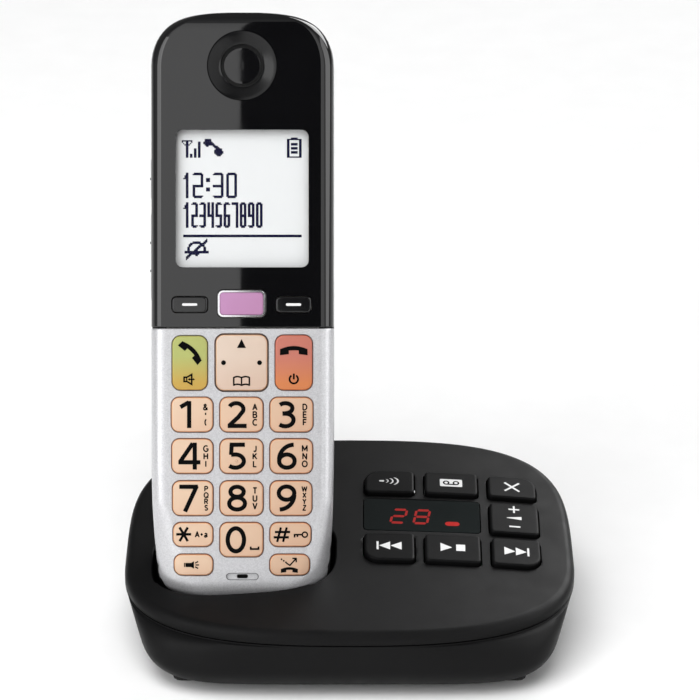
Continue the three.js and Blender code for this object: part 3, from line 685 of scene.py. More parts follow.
def well(grow, low, open_above):
    """The cradle well, grown outwards: cut through the domed top with a rounded lip, or closed above."""
    rings = []
    for fall in (1.0, 0.93, 0.85, 0.75, 0.6, 0.45, 0.3, 0.15, 0.0):
        height = WELL_NARROWING + (low - WELL_NARROWING) * fall
        rings.append(flat_ring(well_outline(grow, 1 - 0.38 * fall**2), height))
    if open_above:
        for turn in np.linspace(0, math.radians(70), 6):
            outline = well_outline(grow + WELL_ROUND * (1 - math.cos(turn)))
            reach = dome_reach(outline) - WELL_ROUND * (1 - math.sin(turn))
            rings.append(np.column_stack((outline, np.maximum(reach, WELL_NARROWING + 0.2))))
        outline = well_outline(grow + WELL_ROUND * 1.6)
        rings.append(np.column_stack((outline, dome_reach(outline) + 0.6)))
        rings.append(flat_ring(outline, 60.0))
    else:
        rings.append(flat_ring(well_outline(grow), 50.0))
    return loft([from_handset(ring) for ring in rings])


def flared(half_x, half_y, radii, grow, edge):
    """A hole cutter in a surface frame with a rounded mouth."""
    rings = []
    for extra, height in [(0, -8.0), *mouth(edge), (edge * 1.5, 8.0)]:
        rings.append(flat_ring(rounded(-half_x, half_x, -half_y, half_y, radii, -(grow + extra)), height))
    return loft(rings)


BASE_KEYS = (
    "key_locator", "key_answer", "key_erase", "key_base_volume",
    "key_rewind", "key_play_stop", "key_forward",
)


def corners_of(name):
    """A base key's corner radii: the four keys at the group's corners have one wide corner each."""
    return tuple(WIDE_CORNER if WIDE_CORNERS.get(name) == i else BASE_CORNER for i in range(4))


def on_top(solid, x, y):
    origin, axes = top_frame(x, y)
    return moved(solid, lambda points: points @ axes + origin)


def cradle_slot(side):
    x, low, high = side * CONTACT_X, WELL_FLOOR - 4, WELL_FLOOR + 0.15
    slot = block(x - 1 - GAP, x + 1 + GAP, 10.5 - GAP, 16 + GAP, low, high)
    return moved(slot, from_handset)


def top_hole(name, radii, grow, edge):
    x, y, half_x, half_y = top_box(name)
    return on_top(flared(half_x, half_y, radii, grow, edge), x, y)


def build_top_cover():
    cutters = [well(0, WELL_FLOOR, True)]
    cutters += [top_hole(name, corners_of(name), KEY_GAP, 0.3) for name in BASE_KEYS]
    cutters.append(top_hole("display_window", 1.2, GAP, 0.15))
    section = ((0.05, 26, 1), (0.05, 2.4, 1), (2.4, 0.05, 1), (2.4, 0.05, 0.5))
    below = loft([cover_ring(*step) for step in section])
    cup = combined(well(WELL_WALL, WELL_FLOOR - WELL_WALL, False), (KEEP, below))
    cover = combined(
        cover_outside(),
        (CUT, cover_inside(COVER_WALL, SEAM_DROP + 6)),
        (JOIN, cup),
        (CUT, together(*cutters)),
        (CUT, together(cradle_slot(-1), cradle_slot(1))),
    )
    base_piece("top_cover", cover, "base", CHARCOAL, ("base_top_cover",), "charcoal", weighted=True)


def foot_pocket(node):
    low, high = node_points(node).min(0), node_points(node).max(0)
    outline = rounded(low[0], high[0], low[1] - SHIFT, high[1] - SHIFT, 2.5, -GAP)
    return prism(outline, (-5.0, high[2] + GAP))


def case_pockets():
    """Pockets in the underside for the feet, the screws and the label, and the speaker's slots."""
    pockets = [foot_pocket(node) for node in FEET]
    half_x, half_y = SPEAKER_SLOT
    for i in range(-2, 3):
        outline = rounded(-half_x, half_x, -half_y, half_y, 0.75) + SPEAKER + (i * SPEAKER_PITCH, 0)
        pockets.append(prism(outline, (-2.0, 4.0)))
    for x, y in SCREWS:
        pockets.append(turned(x, y, ((0, -1), (3.1, -1), (3.1, 2.2), (0, 2.2)), 48, flat_ring))
    pockets.append(prism(rounded(*LABEL, 0.5, -1), (-1.0, 1.05)))
    return together(*pockets)


def case_sockets():
    sockets = []
    for x, half, low, high in SOCKETS:
        sockets.append(prism(rounded(x - half, x + half, low, high, 0.5), (30.0, 60.0), upright_ring))
    return together(*sockets)


def build_bottom_case():
    below_well = well(WELL_WALL + GAP, WELL_FLOOR - WELL_WALL - GAP, False)
    case = combined(
        case_outside(), (CUT, case_inside()), (CUT, case_pockets()), (CUT, case_sockets()), (CUT, below_well)
    )
    base_piece("bottom_case", case, "base", CHARCOAL, ("base_bottom_case",), "charcoal", weighted=True)
    for index, (x, y) in enumerate(SCREWS):
        head = turned(x, y, ((0, 2.1), (2.5, 2.1), (2.5, 1.3), (2.2, 1.05), (0, 1.0)), 48, flat_ring)
        slots = [(CUT, block(x - a, x + a, y - b, y + b, 0.5, 1.4)) for a, b in ((1.3, 0.25), (0.25, 1.3))]
        base_piece(f"screw_{index + 1}", combined(head, *slots), "base", STEEL, slot="steel")
    base_piece("blank_label", prism(rounded(*LABEL, 1.2), (0.92, 1.04)), "base", GREY)
    section = ((3.4, 3.0), (3.4, -1.6), (2.5, -1.6), (2.5, 3.0))
    lip = ring_solid([case_ring(wall, 0.0) - (0, 0, drop) for wall, drop in section])
    base_piece("seam_lip", combined(lip, (CUT, below_well)), "base", SATIN, slot="satin_black")


def ring_solid(rings):
    """A closed band of rings: the last one joins back to the first, so it has no caps."""
    count = len(rings[0])
    faces = []
    for r in range(len(rings)):
        start, after = r * count, (r + 1) % len(rings) * count
        for i in range(count):
            j = (i + 1) % count
            faces.append((start + i, start + j, after + j, after + i))
    return oriented(np.vstack(rings), faces)


# ---- Keys ----


def cap(outline_at, height_at, foot, proud, bevel, half, crown=0.0):
    """A key cap: a rounded edge and a slightly crowned top, and how near each point is to its edge.

    outline_at gives the outline at an inset, and height_at lifts an outline to a height over the face.
    """
    steps = [(0.05, foot, 1.0), (0.0, foot + 0.3, 1.0)]
    for turn in np.linspace(0, math.pi / 2, 7):
        inset, height = bevel * (1 - math.cos(turn)), proud - bevel * (1 - math.sin(turn))
        steps.append((inset, height, 1.0 - turn / (math.pi / 2)))
    for share in (0.06, 0.14, 0.3, 0.55, 0.8):
        steps.append((bevel + (half - bevel) * share, proud + crown * (1 - (1 - share) ** 2), 0.0))
    rings = [height_at(outline_at(inset), height) for inset, height, _ in steps]
    rims = [rim for _, _, rim in steps]
    return loft(rings), np.append(np.repeat(rims, len(rings[0])), (1.0, 0.0))


def front_at(z):
    low = np.clip((8 - z) / 13, 0, 1)
    high = np.clip((z - 158) / 6, 0, 1)
    return 9 * roll(low) + 3.5 * roll(high)


def back_at(z):
    low = np.clip((4 - z) / 9, 0, 1)
    high = np.clip((z - 154) / 10, 0, 1)
    return THICKNESS - 9 * roll(low) - 8 * roll(high)


def front_radius_at(z):
    return 4 + 6 * np.clip((25 - z) / 20, 0, 1)


def half_width_at(z):
    z = np.asarray(z, float)
    taper = LOW_TAPER * np.clip((LOW_TAPER_TOP - z) / (LOW_TAPER_TOP - LOW_END), 0, 1) ** 2
    low = np.clip((LOW_END + LOW_END_LENGTH - z) / LOW_END_LENGTH, 0, 1)
    high = np.clip((z - HIGH_END + HIGH_END_LENGTH) / HIGH_END_LENGTH, 0, 1)
    return (HALF_WIDTH - taper) * (1 - low**2) ** 0.35 * (1 - high**2) ** 0.26


def face_depth(x, z):
    radius = front_radius_at(z)
    over = np.abs(x) - (half_width_at(z) - radius)
    return front_at(z) + radius * roll(np.clip(over / radius, 0, 1))


def face_ring(outline, height):
    """An outline in x and z lifted over the handset's face."""
    x, z = outline[:, 0], outline[:, 1]
    return np.stack((x, face_depth(x, z) - height, z), 1)


def key_marks(solid, rim, box):
    """Marks for a key's material: how near a point is to the edge, and how far up the key it lies."""
    low, high = box
    return {"rim": rim, "rise": (solid[0][:, 2] - low[2]) / (high[2] - low[2])}


def face_key(name, node, material, slot, radius, foot=KEY_FOOT):
    box = handset_box(node)

    def outline_at(inset):
        return box_outline(box, radius, inset, 5)

    def height_at(outline, height):
        return upright_ring(outline, -height) if height <= 0.35 - foot else face_ring(outline, height)

    half = (box[1] - box[0])[[0, 2]].min() / 2
    solid, rim = cap(outline_at, height_at, -foot, KEY_PROUD, KEY_BEVEL, half)
    handset_piece(name, solid, node, material, (node,), slot, marks=key_marks(solid, rim, box))


DIGITS = tuple(f"key_{n}" for n in range(10))
PEACH_KEYS = DIGITS + ("key_star", "key_hash", "torch_key", "redial_key")
SOFTKEYS = ("softkey_left", "softkey_right")


def build_keys():
    for node in PEACH_KEYS:
        face_key(f"{node}_cap", node, PEACH, "key_peach", KEY_CORNER)
    face_key("talk_key_cap", "talk_key", TALK, "key_talk", CALL_CORNER)
    face_key("end_key_cap", "end_key", END, "key_end", CALL_CORNER)
    face_key("nav_key_cap", "nav_key", NAV, "key_peach", CALL_CORNER, foot=2.0)
    for node in SOFTKEYS:
        face_key(f"{node}_cap", node, SOFTKEY, "satin_black", SOFTKEY_CORNER)
    build_ok_key()
    for node in BASE_KEYS:
        base_key(node)


def build_ok_key():
    """A chrome frame with a slightly sunken coloured face."""
    box = handset_box("ok_key")
    section = (
        (0.05, -KEY_FOOT), (0.0, 0.3), (0.05, 0.5), (0.15, 0.6), (0.4, 0.6), (0.62, 0.6), (0.7, 0.5),
        (0.72, 0.25), (0.72, -1.2),
    )
    rings = [upright_ring(box_outline(box, OK_CORNER, inset), -height) for inset, height in section]
    solid = ring_solid(rings)
    handset_piece("ok_key_frame", solid, "ok_key", CHROME, ("ok_key",), "key_middle", weighted=True)

    def outline_at(inset):
        return box_outline(box, OK_CORNER, inset + OK_FRAME)

    half = (box[1][2] - box[0][2]) / 2 - OK_FRAME
    solid, rim = cap(outline_at, face_ring, -1.0, 0.42, 0.15, half, 0.1)
    marks = key_marks(solid, rim, box)
    handset_piece("ok_key_face", solid, "ok_key", PINK, ("ok_key",), "key_middle", marks=marks)


def base_key(node):
    x, y, half_x, half_y = top_box(node)

    def outline_at(inset):
        return rounded(-half_x, half_x, -half_y, half_y, corners_of(node), inset, straight=3)

    half = min(half_x, half_y)
    solid, rim = cap(outline_at, flat_ring, -BASE_KEY_FOOT, BASE_KEY_PROUD, BASE_KEY_BEVEL, half)
    solid = on_top(solid, x, y)
    base_piece(f"{node}_cap", solid, node, SATIN, (node,), "satin_black", marks={"rim": rim})


# ---- Handset ----


def handset_ring(z, wall, steps, joint_round):
    """Cross-section of the handset, sunk beside the parting line and, if asked, beside the joint."""
    half_width = float(half_width_at(z)) - wall
    front, back = float(front_at(z)) + wall, float(back_at(z)) - wall
    room = min(back - front, 2 * half_width) * 0.48
    front_radius = min(max(float(front_radius_at(z)) - wall, 1), room)
    back_radius = min(9 - wall, room)
    points, normals = [], []

    def corner(x, y, radius, quarter):
        for i in range(steps + 1):
            angle = (quarter + i / steps) * math.pi / 2
            normals.append((math.cos(angle), math.sin(angle)))
            points.append((x + radius * normals[-1][0], y + radius * normals[-1][1]))

    def straight(start, end, positions, normal):
        for share in positions:
            points.append((start[0] + (end[0] - start[0]) * share, start[1] + (end[1] - start[1]) * share))
            normals.append(normal)

    even = (0.01, *(k / 10 for k in range(1, 10)), 0.99)
    low, high = front + front_radius, back - back_radius
    offsets = (0.15, 0.16, 0.18, 0.22, 0.28, 0.35, 0.45, 0.6)
    levels = sorted([PARTING_DEPTH - d for d in offsets] + [PARTING_DEPTH + d for d in offsets])
    shares = [(level - low) / (high - low) for level in levels]
    count = len(shares)
    shares = [min(max(s, 0.002 * (i + 1)), 1 - 0.002 * (count - i)) for i, s in enumerate(shares)]
    corner(-half_width + front_radius, low, front_radius, 2)
    straight((-half_width + front_radius, front), (half_width - front_radius, front), even, (0, -1))
    corner(half_width - front_radius, low, front_radius, 3)
    straight((half_width, low), (half_width, high), shares, (1, 0))
    corner(half_width - back_radius, high, back_radius, 0)
    straight((half_width - back_radius, back), (-half_width + back_radius, back), even, (0, 1))
    corner(-half_width + back_radius, high, back_radius, 1)
    straight((-half_width, high), (-half_width, low), [1 - s for s in reversed(shares)], (-1, 0))
    points, normals = np.array(points), np.array(normals)
    if wall == 0:
        near = np.clip((np.abs(points[:, 1] - PARTING_DEPTH) - GAP / 2) / EDGE_ROUND, 0, 1)
        sink = EDGE_ROUND * roll(1 - near) * np.abs(normals[:, 0]) ** 4
        if joint_round:
            beside = np.clip((abs(z - COVER_JOINT) - GAP / 2) / EDGE_ROUND, 0, 1)
            sink = np.maximum(sink, EDGE_ROUND * float(roll(1 - beside)))
        points = points - normals * sink[:, None]
    return points


FINE_LOW = (
    0.985, 0.975, 0.96, 0.94, 0.91, 0.88, 0.84, 0.8, 0.75, 0.7,
    0.64, 0.58, 0.51, 0.44, 0.37, 0.3, 0.2, 0.1, 0,
)
FINE_MIDDLE = (6, 7, 8, 9, 10.5, 12, 14, 16, 18, 21, 23, 25, 26, 30, 35, 40, 45, 60, 72)
FINE_HIGH = (
    0, 0.12, 0.25, 0.36, 0.46, 0.55, 0.63, 0.7, 0.76,
    0.81, 0.85, 0.885, 0.915, 0.94, 0.96, 0.975, 0.987, 0.995,
)
BESIDE_JOINT = (0.15, 0.16, 0.2, 0.25, 0.35, 0.5, 0.6)


def handset_heights(fine):
    """Heights of the handset's cross-sections: close together where its outline turns quickly."""
    low_shares, high_shares = (FINE_LOW, FINE_HIGH) if fine else ((0.96, 0.75, 0.45, 0), (0, 0.6, 0.95))
    heights = [LOW_END + LOW_END_LENGTH * (1 - share) for share in low_shares]
    if fine:
        heights += FINE_MIDDLE
        heights += [COVER_JOINT - offset for offset in reversed(BESIDE_JOINT)]
        heights += [COVER_JOINT + offset for offset in BESIDE_JOINT]
        heights += (76, 90, 110, 130, 142)
    else:
        heights += (8, 12, 18, 26, 40, 70)
    return heights + [HIGH_END - HIGH_END_LENGTH * (1 - share) for share in high_shares]


def handset_body(wall=0.0, joint_round=False):
    """The whole handset as one solid; with a wall, the space inside it."""
    middle = (LOW_END + HIGH_END) / 2
    shrink = 1 - 2 * wall / (HIGH_END - LOW_END)
    rings = []
    for z in handset_heights(wall == 0):
        ring = handset_ring(z, wall, CORNER_STEPS if wall == 0 else 3, joint_round)
        rings.append(flat_ring(ring, middle + (z - middle) * shrink))
    return loft(rings)


def face_hole(node, radius, edge=0.14, grow=0.15):
    """A cutter through the face around a CAD node, with a rounded mouth."""
    box = handset_box(node)

    def outline(extra):
        return box_outline(box, radius, -(grow + extra), 5)

    rings = [face_ring(outline(extra), height) for extra, height in mouth(edge)]
    return loft([upright_ring(outline(0), 12.0), *rings, upright_ring(outline(edge * 1.5), -4.0)])


def microphone_slot():
    """A shallow slot in the face with a rounded mouth."""
    reach, edge = 0.88, 0.15
    size = (-4.55, 4.55, MICROPHONE_HEIGHT - reach, MICROPHONE_HEIGHT + reach, 0.87)
    rings = [upright_ring(rounded(*size), 1.0)]
    for extra, height in ((0, -edge), (edge * 0.3, -edge * 0.3), (edge * 1.6, 0.2), (edge * 1.6, 4.0)):
        rings.append(face_ring(rounded(*size, -extra), height))
    return loft(rings)


def build_front_covers():
    body = handset_body(joint_round=True)
    inside = handset_body(SHELL_WALL)
    boss = turned(0, EARPIECE_HEIGHT, ((0, 0.6), (11.6, 0.6), (11.6, 4.2), (0, 4.2)))
    dish_profile = ((0, -4), (9.88, -4), (9.86, 0.2), (9.8, 2.4), (6, 4.6), (6, 9), (0, 9))
    dish = turned(0, EARPIECE_HEIGHT, dish_profile, 96)
    upper = block(-40, 40, -5, PARTING_DEPTH - GAP / 2, COVER_JOINT + GAP / 2, 180)
    holes = [face_hole("lcd_window", WINDOW_CORNER, 0.12, 0.1)]
    holes += [face_hole(node, SOFTKEY_CORNER) for node in SOFTKEYS] + [face_hole("ok_key", OK_CORNER)]
    bezel = combined(body, (CUT, inside), (JOIN, boss), (KEEP, upper), (CUT, dish), (CUT, together(*holes)))
    handset_piece(
        "upper_bezel", bezel, "handset", GLOSS, ("handset_upper_bezel",), "glossy_black",
        sharp=12, weighted=True,
    )
    lower = block(-40, 40, -5, PARTING_DEPTH - GAP / 2, LOW_END + 1, COVER_JOINT - GAP / 2)
    holes = [face_hole(node, KEY_CORNER) for node in PEACH_KEYS]
    holes += [face_hole(node, CALL_CORNER) for node in ("talk_key", "end_key")]
    holes += [face_hole("nav_key", CALL_CORNER, 0.2, 0.3), microphone_slot()]
    outline = rounded(-1.6, 1.6, MICROPHONE_HEIGHT - 0.6, MICROPHONE_HEIGHT + 0.6, 0.59)
    through = prism(outline, (-4.0, 9.0), upright_ring)
    cover = combined(body, (CUT, inside), (KEEP, lower), (CUT, together(*holes)), (CUT, through))
    handset_piece("lower_cover", cover, "handset", SILVER, ("handset_lower_cover",), "silver", weighted=True)


def side_ring(node, x, inset):
    """The outline of a key on the handset's left side, at a place across."""
    low, high = handset_box(node)
    outline = rounded(low[1], high[1], low[2], high[2], 2.0, inset, straight=2)
    return np.column_stack((np.full(len(outline), x), outline))


def build_side_keys():
    """Two keys on the left side, with one and two ribs."""
    for node, ribs in (("side_key", (0.0,)), ("volume_rocker", (-4.0, 4.0))):
        levels = [(-23.4, 0.0), (-HALF_WIDTH - 0.05, 0.0)]
        levels += [(-HALF_WIDTH - 0.05 - out, inset) for inset, out in rounding(0.45, 6, 0.3)]
        levels += [(-HALF_WIDTH - 0.53, 1.2), (-HALF_WIDTH - 0.54, 1.9)]
        solid = loft([side_ring(node, x, inset) for x, inset in levels])
        handset_piece(f"{node}_cap", solid, node, SATIN, (node,), "satin_black")
        low, high = handset_box(node)
        middle = (low + high)[1:] / 2
        for index, offset in enumerate(ribs):
            rings = []
            for proud, wide, tall in ((0.3, 1.0, 1.0), (0.6, 1.0, 1.0), (0.78, 0.9, 0.6)):
                outline = pill(2.3, 0.35) * (wide, tall) * (0.6, 1) + middle + (0, offset)
                rings.append(np.column_stack((np.full(len(outline), -HALF_WIDTH - proud), outline)))
            handset_piece(f"{node}_rib_{index + 1}", loft(rings), node, SATIN, slot="satin_black")


def pill(half_length, radius, steps=8):
    """A bar with round ends."""
    points = []
    for side, start in ((1, -0.5), (-1, 0.5)):
        for i in range(steps + 1):
            angle = math.pi * (start + i / steps)
            x = side * (half_length - radius) + radius * math.cos(angle)
            points.append((x, radius * math.sin(angle)))
    return np.array(points)


def shell_openings():
    """Holes for the side keys, the torch lens, the two contacts and the loudspeaker's grille."""
    cuts = []
    for node in ("side_key", "volume_rocker"):
        cuts.append(loft([side_ring(node, x, -KEY_GAP) for x in (-40.0, -20.0)]))
    profile = ((0, 156), (3.2, 156), (3.2, HIGH_END - 0.5), (4.4, HIGH_END + 1.2), (4.4, 172), (0, 172))
    cuts.append(turned(0, 14, profile, 48, flat_ring))
    for x in (-CONTACT_X, CONTACT_X):
        cuts.append(block(x - 1.5, x + 1.5, 9.7, 16.8, LOW_END - 1.5, LOW_END + 3.2))
    for row in range(5):
        for column in range(-4, 5):
            if abs(column) + abs(row - 2) < 6:
                x, z = column * GRILLE_PITCH, GRILLE_HEIGHT + row * GRILLE_PITCH
                cuts.append(turned(x, z, ((0, 25.1), (0.62, 25.1), (0.62, 28), (0, 28)), 16))
    return together(*cuts)


def build_rear_shell():
    body = handset_body()
    rear = block(-40, 40, PARTING_DEPTH + GAP / 2, 40, -20, 180)
    seat = combined(block(-19.5, 19.5, 22.3, 24.7, 28, 88), (KEEP, body))
    holder = prism(rounded(*BAY, 1.5, -1.2), (BAY_FLOOR - 1.2, 23.0), upright_ring)
    bay = prism(rounded(*BAY, 1.0), (BAY_FLOOR, 40.0), upright_ring)
    door = box_outline(handset_box("battery_door"), DOOR_CORNER, -GAP)
    shell = combined(
        body, (CUT, handset_body(SHELL_WALL)), (KEEP, rear), (JOIN, seat), (JOIN, holder),
        (CUT, prism(door, (24.1, 40.0), upright_ring)), (CUT, bay), (CUT, shell_openings()),
    )
    handset_piece(
        "rear_shell", shell, "handset", CHARCOAL, ("handset_rear_shell",), "charcoal", weighted=True
    )


def build_battery_door():
    """The door has a rounded edge and four finger grooves."""
    box = handset_box("battery_door")
    section = ((0.0, 24.4), (0.0, 25.7), (0.08, 25.88), (0.3, 26.0), (1.5, 26.0), (4.0, 26.0))
    door = loft([upright_ring(box_outline(box, DOOR_CORNER, inset, 3), y) for inset, y in section])
    heights = [box[1][2] - 8 - i * 2.4 for i in range(4)]
    grooves = [prism(pill(6.5, 0.55) + (0, z), (25.5, 27.0), upright_ring) for z in heights]
    door = combined(door, (CUT, together(*grooves)))
    handset_piece(
        "battery_door_panel", door, "battery_door", CHARCOAL, ("battery_door",), "charcoal", weighted=True
    )


def earpiece_ring(name, section, material):
    """A ring round the earpiece's middle: the section lists (radius, depth)."""
    rings = [upright_ring(circle(radius, 96) + (0, EARPIECE_HEIGHT), y) for radius, y in section]
    handset_piece(name, ring_solid(rings), "handset", material, slot="satin_black")


def build_earpiece():
    profile = [(0, 3.4), (EARPIECE_RADIUS, 3.4)]
    profile += [(EARPIECE_RADIUS - inset, 1.62 - rise) for inset, rise in rounding(0.12, 5)]
    profile += [(4.4, 1.5), (3.0, 1.5), (1.5, 1.5), (0, 1.5)]
    disc = turned(0, EARPIECE_HEIGHT, profile, 96)
    handset_piece("earpiece_disc", disc, "handset", GLOSS, ("earpiece_cap",), "glossy_black")
    dish = [
        (9.8, 0.3), (9.7, 0.12), (9.5, 0.14), (8.6, 0.42), (7.6, 0.78), (6.7, 1.1), (6.2, 1.3), (6.05, 1.5),
        (6.02, 3.0), (9.75, 1.6),
    ]
    earpiece_ring("earpiece_dish", dish, DISH)
    # a dark matte ring in the groove's floor: a painted shadow that keeps the slit dark
    earpiece_ring("earpiece_groove_shade", [(5.13, 2.6), (6.0, 2.6), (6.0, 2.9), (5.13, 2.9)], RUBBER)


# ---- Screen ----


def build_screen():
    box, window = handset_box("lcd_panel"), handset_box("lcd_window")
    rings = [upright_ring(box_outline(box, 0.3), y) for y in (box[1][1], box[0][1])]
    rims = [1, 1]
    # rim marks for the painted shadow inside the screen's recess, strongest at its edge
    for inset, rim in ((0.55, 1), (0.9, 0.8), (1.4, 0.45), (2.2, 0.15), (3.4, 0)):
        rings.append(upright_ring(box_outline(box, 2.0 + inset * 1.5, inset), box[0][1]))
        rims.append(rim)
    solid = loft(rings)
    middle = (box[0] + box[1]) / 2
    marks = np.append(np.repeat(rims, len(rings[0])), (1.0, 0.0))
    # the painted shadow is fainter on the right and bottom edges, as if lit from the upper left
    lit = (solid[0][:, 0] > middle[0] + 14) | (solid[0][:, 2] < middle[2] - 16)
    marks = {"rim": marks * np.where(lit, 0.45, 1.0)}
    handset_piece("lcd_backing", solid, "handset", LCD, ("lcd_panel",), "screen", marks=marks)
    front, back = window[0][1], window[1][1]
    section = ((0, back), (0, front + 0.15), (0.15, front))
    solid = loft([upright_ring(box_outline(window, WINDOW_CORNER, inset), y) for inset, y in section])
    handset_piece("lcd_cover", solid, "handset", CLEAR, ("lcd_window",), "window")
    build_lcd_marks(*window, box[0][1])


LCD_PITCH = 0.38
SEGMENTS = {
    "0": "abcdef", "1": "bc", "2": "abged", "3": "abgcd", "4": "fgbc",
    "5": "afgcd", "6": "afgedc", "7": "abc", "8": "abcdefg", "9": "abcdfg",
}


def dot_block(x0, x1, y0, y1):
    return {(x, y) for x in range(x0, x1) for y in range(y0, y1)}


def lcd_digit(digit, width, height):
    """The dots of a digit: pairs of column and row from its low-left corner, with strokes 2 dots wide."""
    half = height // 2
    areas = {
        "a": (0, width, height - 2, height), "d": (0, width, 0, 2), "g": (0, width, half - 1, half + 1),
        "f": (0, 2, half, height), "b": (width - 2, width, half, height),
        "e": (0, 2, 0, half), "c": (width - 2, width, 0, half),
    }
    dots = set().union(*(dot_block(*areas[segment]) for segment in SEGMENTS[digit]))
    if digit == "1":
        flag = dot_block(width - 4, width - 3, height - 5, height - 2) | {(width - 5, height - 5)}
        return shifted(dots, -1, 0) | flag
    if digit in "47":
        return dots
    return dots - {(0, 0), (width - 1, 0), (0, height - 1), (width - 1, height - 1)}


def dots_of(shapes):
    """Dots whose middles lie in any of some convex shapes, drawn in dots."""
    dots = set()
    for shape in shapes:
        low, high = np.floor(shape.min(0)).astype(int), np.ceil(shape.max(0)).astype(int)
        edges = np.roll(shape, -1, 0) - shape
        for x, y in dot_block(low[0], high[0], low[1], high[1]):
            reach = np.array((x + 0.5, y + 0.5)) - shape
            crosses = edges[:, 0] * reach[:, 1] - edges[:, 1] * reach[:, 0]
            if np.all(crosses >= -1e-6) or np.all(crosses <= 1e-6):
                dots.add((x, y))
    return dots


def build_lcd_marks(low, high, depth):
    """The marks of the screen, in rows of dots on the backing."""
    width = round((high[0] - low[0]) / LCD_PITCH)
    number = [shifted(lcd_digit(digit, 5, 19), 5 + i * 6, 29) for i, digit in enumerate("1234567890")]
    clock = [shifted(lcd_digit(digit, 8, 19), x, 51) for digit, x in zip("1230", (2, 12, 27, 37))]
    clock += [dot_block(22, 25, 56, 59), dot_block(22, 25, 63, 66)]
    receiver = [disc_shape(23.4, 92.4, 3.1, 16), disc_shape(31.4, 85.2, 3.3, 16)]
    receiver.append(band((23.6, 93.6), (32.2, 86.6), 2.6))
    marks = {
        "lcd_number": set().union(*number),
        "lcd_clock": set().union(*clock),
        "lcd_battery": shifted(battery_dots(), width - 16, 81),
        "lcd_signal": shifted(signal_dots(), 4, 81),
        "lcd_call": dots_of(receiver),
        "lcd_line": dot_block(5, width - 5, 22, 24),
        "lcd_bell": shifted(bell_dots(), 5, 8),
    }

    def place(points, height):
        points = np.array((low[0], low[2])) + points * LCD_PITCH
        return handset_to_world(upright_ring(points, depth - height))

    for name, dots in marks.items():
        plate(name, dot_rows(dots), place, 0.03, "handset", NAVY)


def shifted(dots, x, y):
    return {(a + x, b + y) for a, b in dots}


def battery_dots():
    bars = dot_block(3, 8, 3, 5) | dot_block(3, 8, 6, 8) | dot_block(3, 8, 9, 11)
    return (dot_block(0, 11, 0, 14) - dot_block(2, 9, 1, 13)) | bars | dot_block(3, 8, 14, 15)


def signal_dots():
    mast = dot_block(3, 5, 0, 13) | dot_block(0, 8, 12, 13)
    mast |= {(0, 11), (7, 11), (1, 10), (6, 10), (2, 9), (5, 9)}
    return mast | dot_block(6, 8, 0, 3) | dot_block(9, 11, 0, 7) | dot_block(12, 14, 0, 12)


def bell_dots():
    """A crossed-out bell."""
    dome = dots_of([ring_part(10, 4, 5.2, 7.2, a, a + 15) for a in range(0, 180, 15)])
    clapper = dot_block(9, 11, 0, 1) | dot_block(8, 12, 1, 2)
    return dome | dot_block(1, 19, 2, 4) | clapper | dots_of([band((2, -2), (18, 12), 2.0)])


def dot_rows(dots):
    """Runs of neighbouring dots as thin rectangles."""
    shapes = []
    for row in sorted({y for _, y in dots}):
        columns = sorted(x for x, y in dots if y == row)
        start = columns[0]
        for x, after in zip(columns, columns[1:] + [None]):
            if after != x + 1:
                shapes.append(rectangle(start, x + 1, row, row + 1))
                start = after
    return shapes


# ---- Flat marks: icons, digits and letters as thin plates ----


def band(start, end, width):
    start, end = np.array(start, float), np.array(end, float)
    along = (end - start) / np.linalg.norm(end - start)
    side = np.array((-along[1], along[0])) * width / 2
    return np.array((start - side, end - side, end + side, start + side))


def stroke(path, width, closed=False):
    """A line of even width as one strip of quads with mitred joints and flat ends."""
    path = np.array(path, float)
    after = np.roll(path, -1, 0) - path
    before = path - np.roll(path, 1, 0)
    if not closed:
        after[-1], before[0] = before[-1], after[0]
    after /= np.linalg.norm(after, axis=1)[:, None]
    before /= np.linalg.norm(before, axis=1)[:, None]
    side = np.stack((-(after + before)[:, 1], (after + before)[:, 0]), 1)
    side /= np.linalg.norm(side, axis=1)[:, None]
    reach = np.abs(side[:, 0] * -after[:, 1] + side[:, 1] * after[:, 0])
    side *= (width / 2 / np.maximum(reach, 0.5))[:, None]
    left, right = path + side, path - side
    quads = np.stack((right, np.roll(right, -1, 0), np.roll(left, -1, 0), left), 1)
    return list(quads if closed else quads[:-1])


def arc(x, y, rx, ry, start, end, count=14):
    angles = np.radians(np.linspace(start, end, count))
    return [(x + rx * math.cos(a), y + ry * math.sin(a)) for a in angles]


def ring_part(x, y, inner, outer, start, end):
    return np.array(arc(x, y, inner, inner, start, start, 1) + arc(x, y, outer, outer, start, end, 2)
                    + arc(x, y, inner, inner, end, end, 1))


def turn_shape(shape, degrees):
    c, s = math.cos(math.radians(degrees)), math.sin(math.radians(degrees))
    return np.asarray(shape, float) @ np.array(((c, s), (-s, c)))


def rectangle(x0, x1, y0, y1):
    return np.array(((x0, y0), (x1, y0), (x1, y1), (x0, y1)), float)


def receiver_shapes():
    """A telephone receiver seen from the side, ends down, 7.6 wide."""
    across = np.linspace(-3.8, 3.8, 17)
    outer = np.stack((across, 1.2 - 0.062 * across**2), 1)
    inner = np.stack((across, -0.05 * across**2), 1)
    shapes = [np.array((inner[i], inner[i + 1], outer[i + 1], outer[i])) for i in range(16)]
    end = np.array(((1.4, 0.3), (1.4, -1.1), (3.9, -1.4), (3.85, 0.4)))
    return shapes + [end * (-1, 1), end]


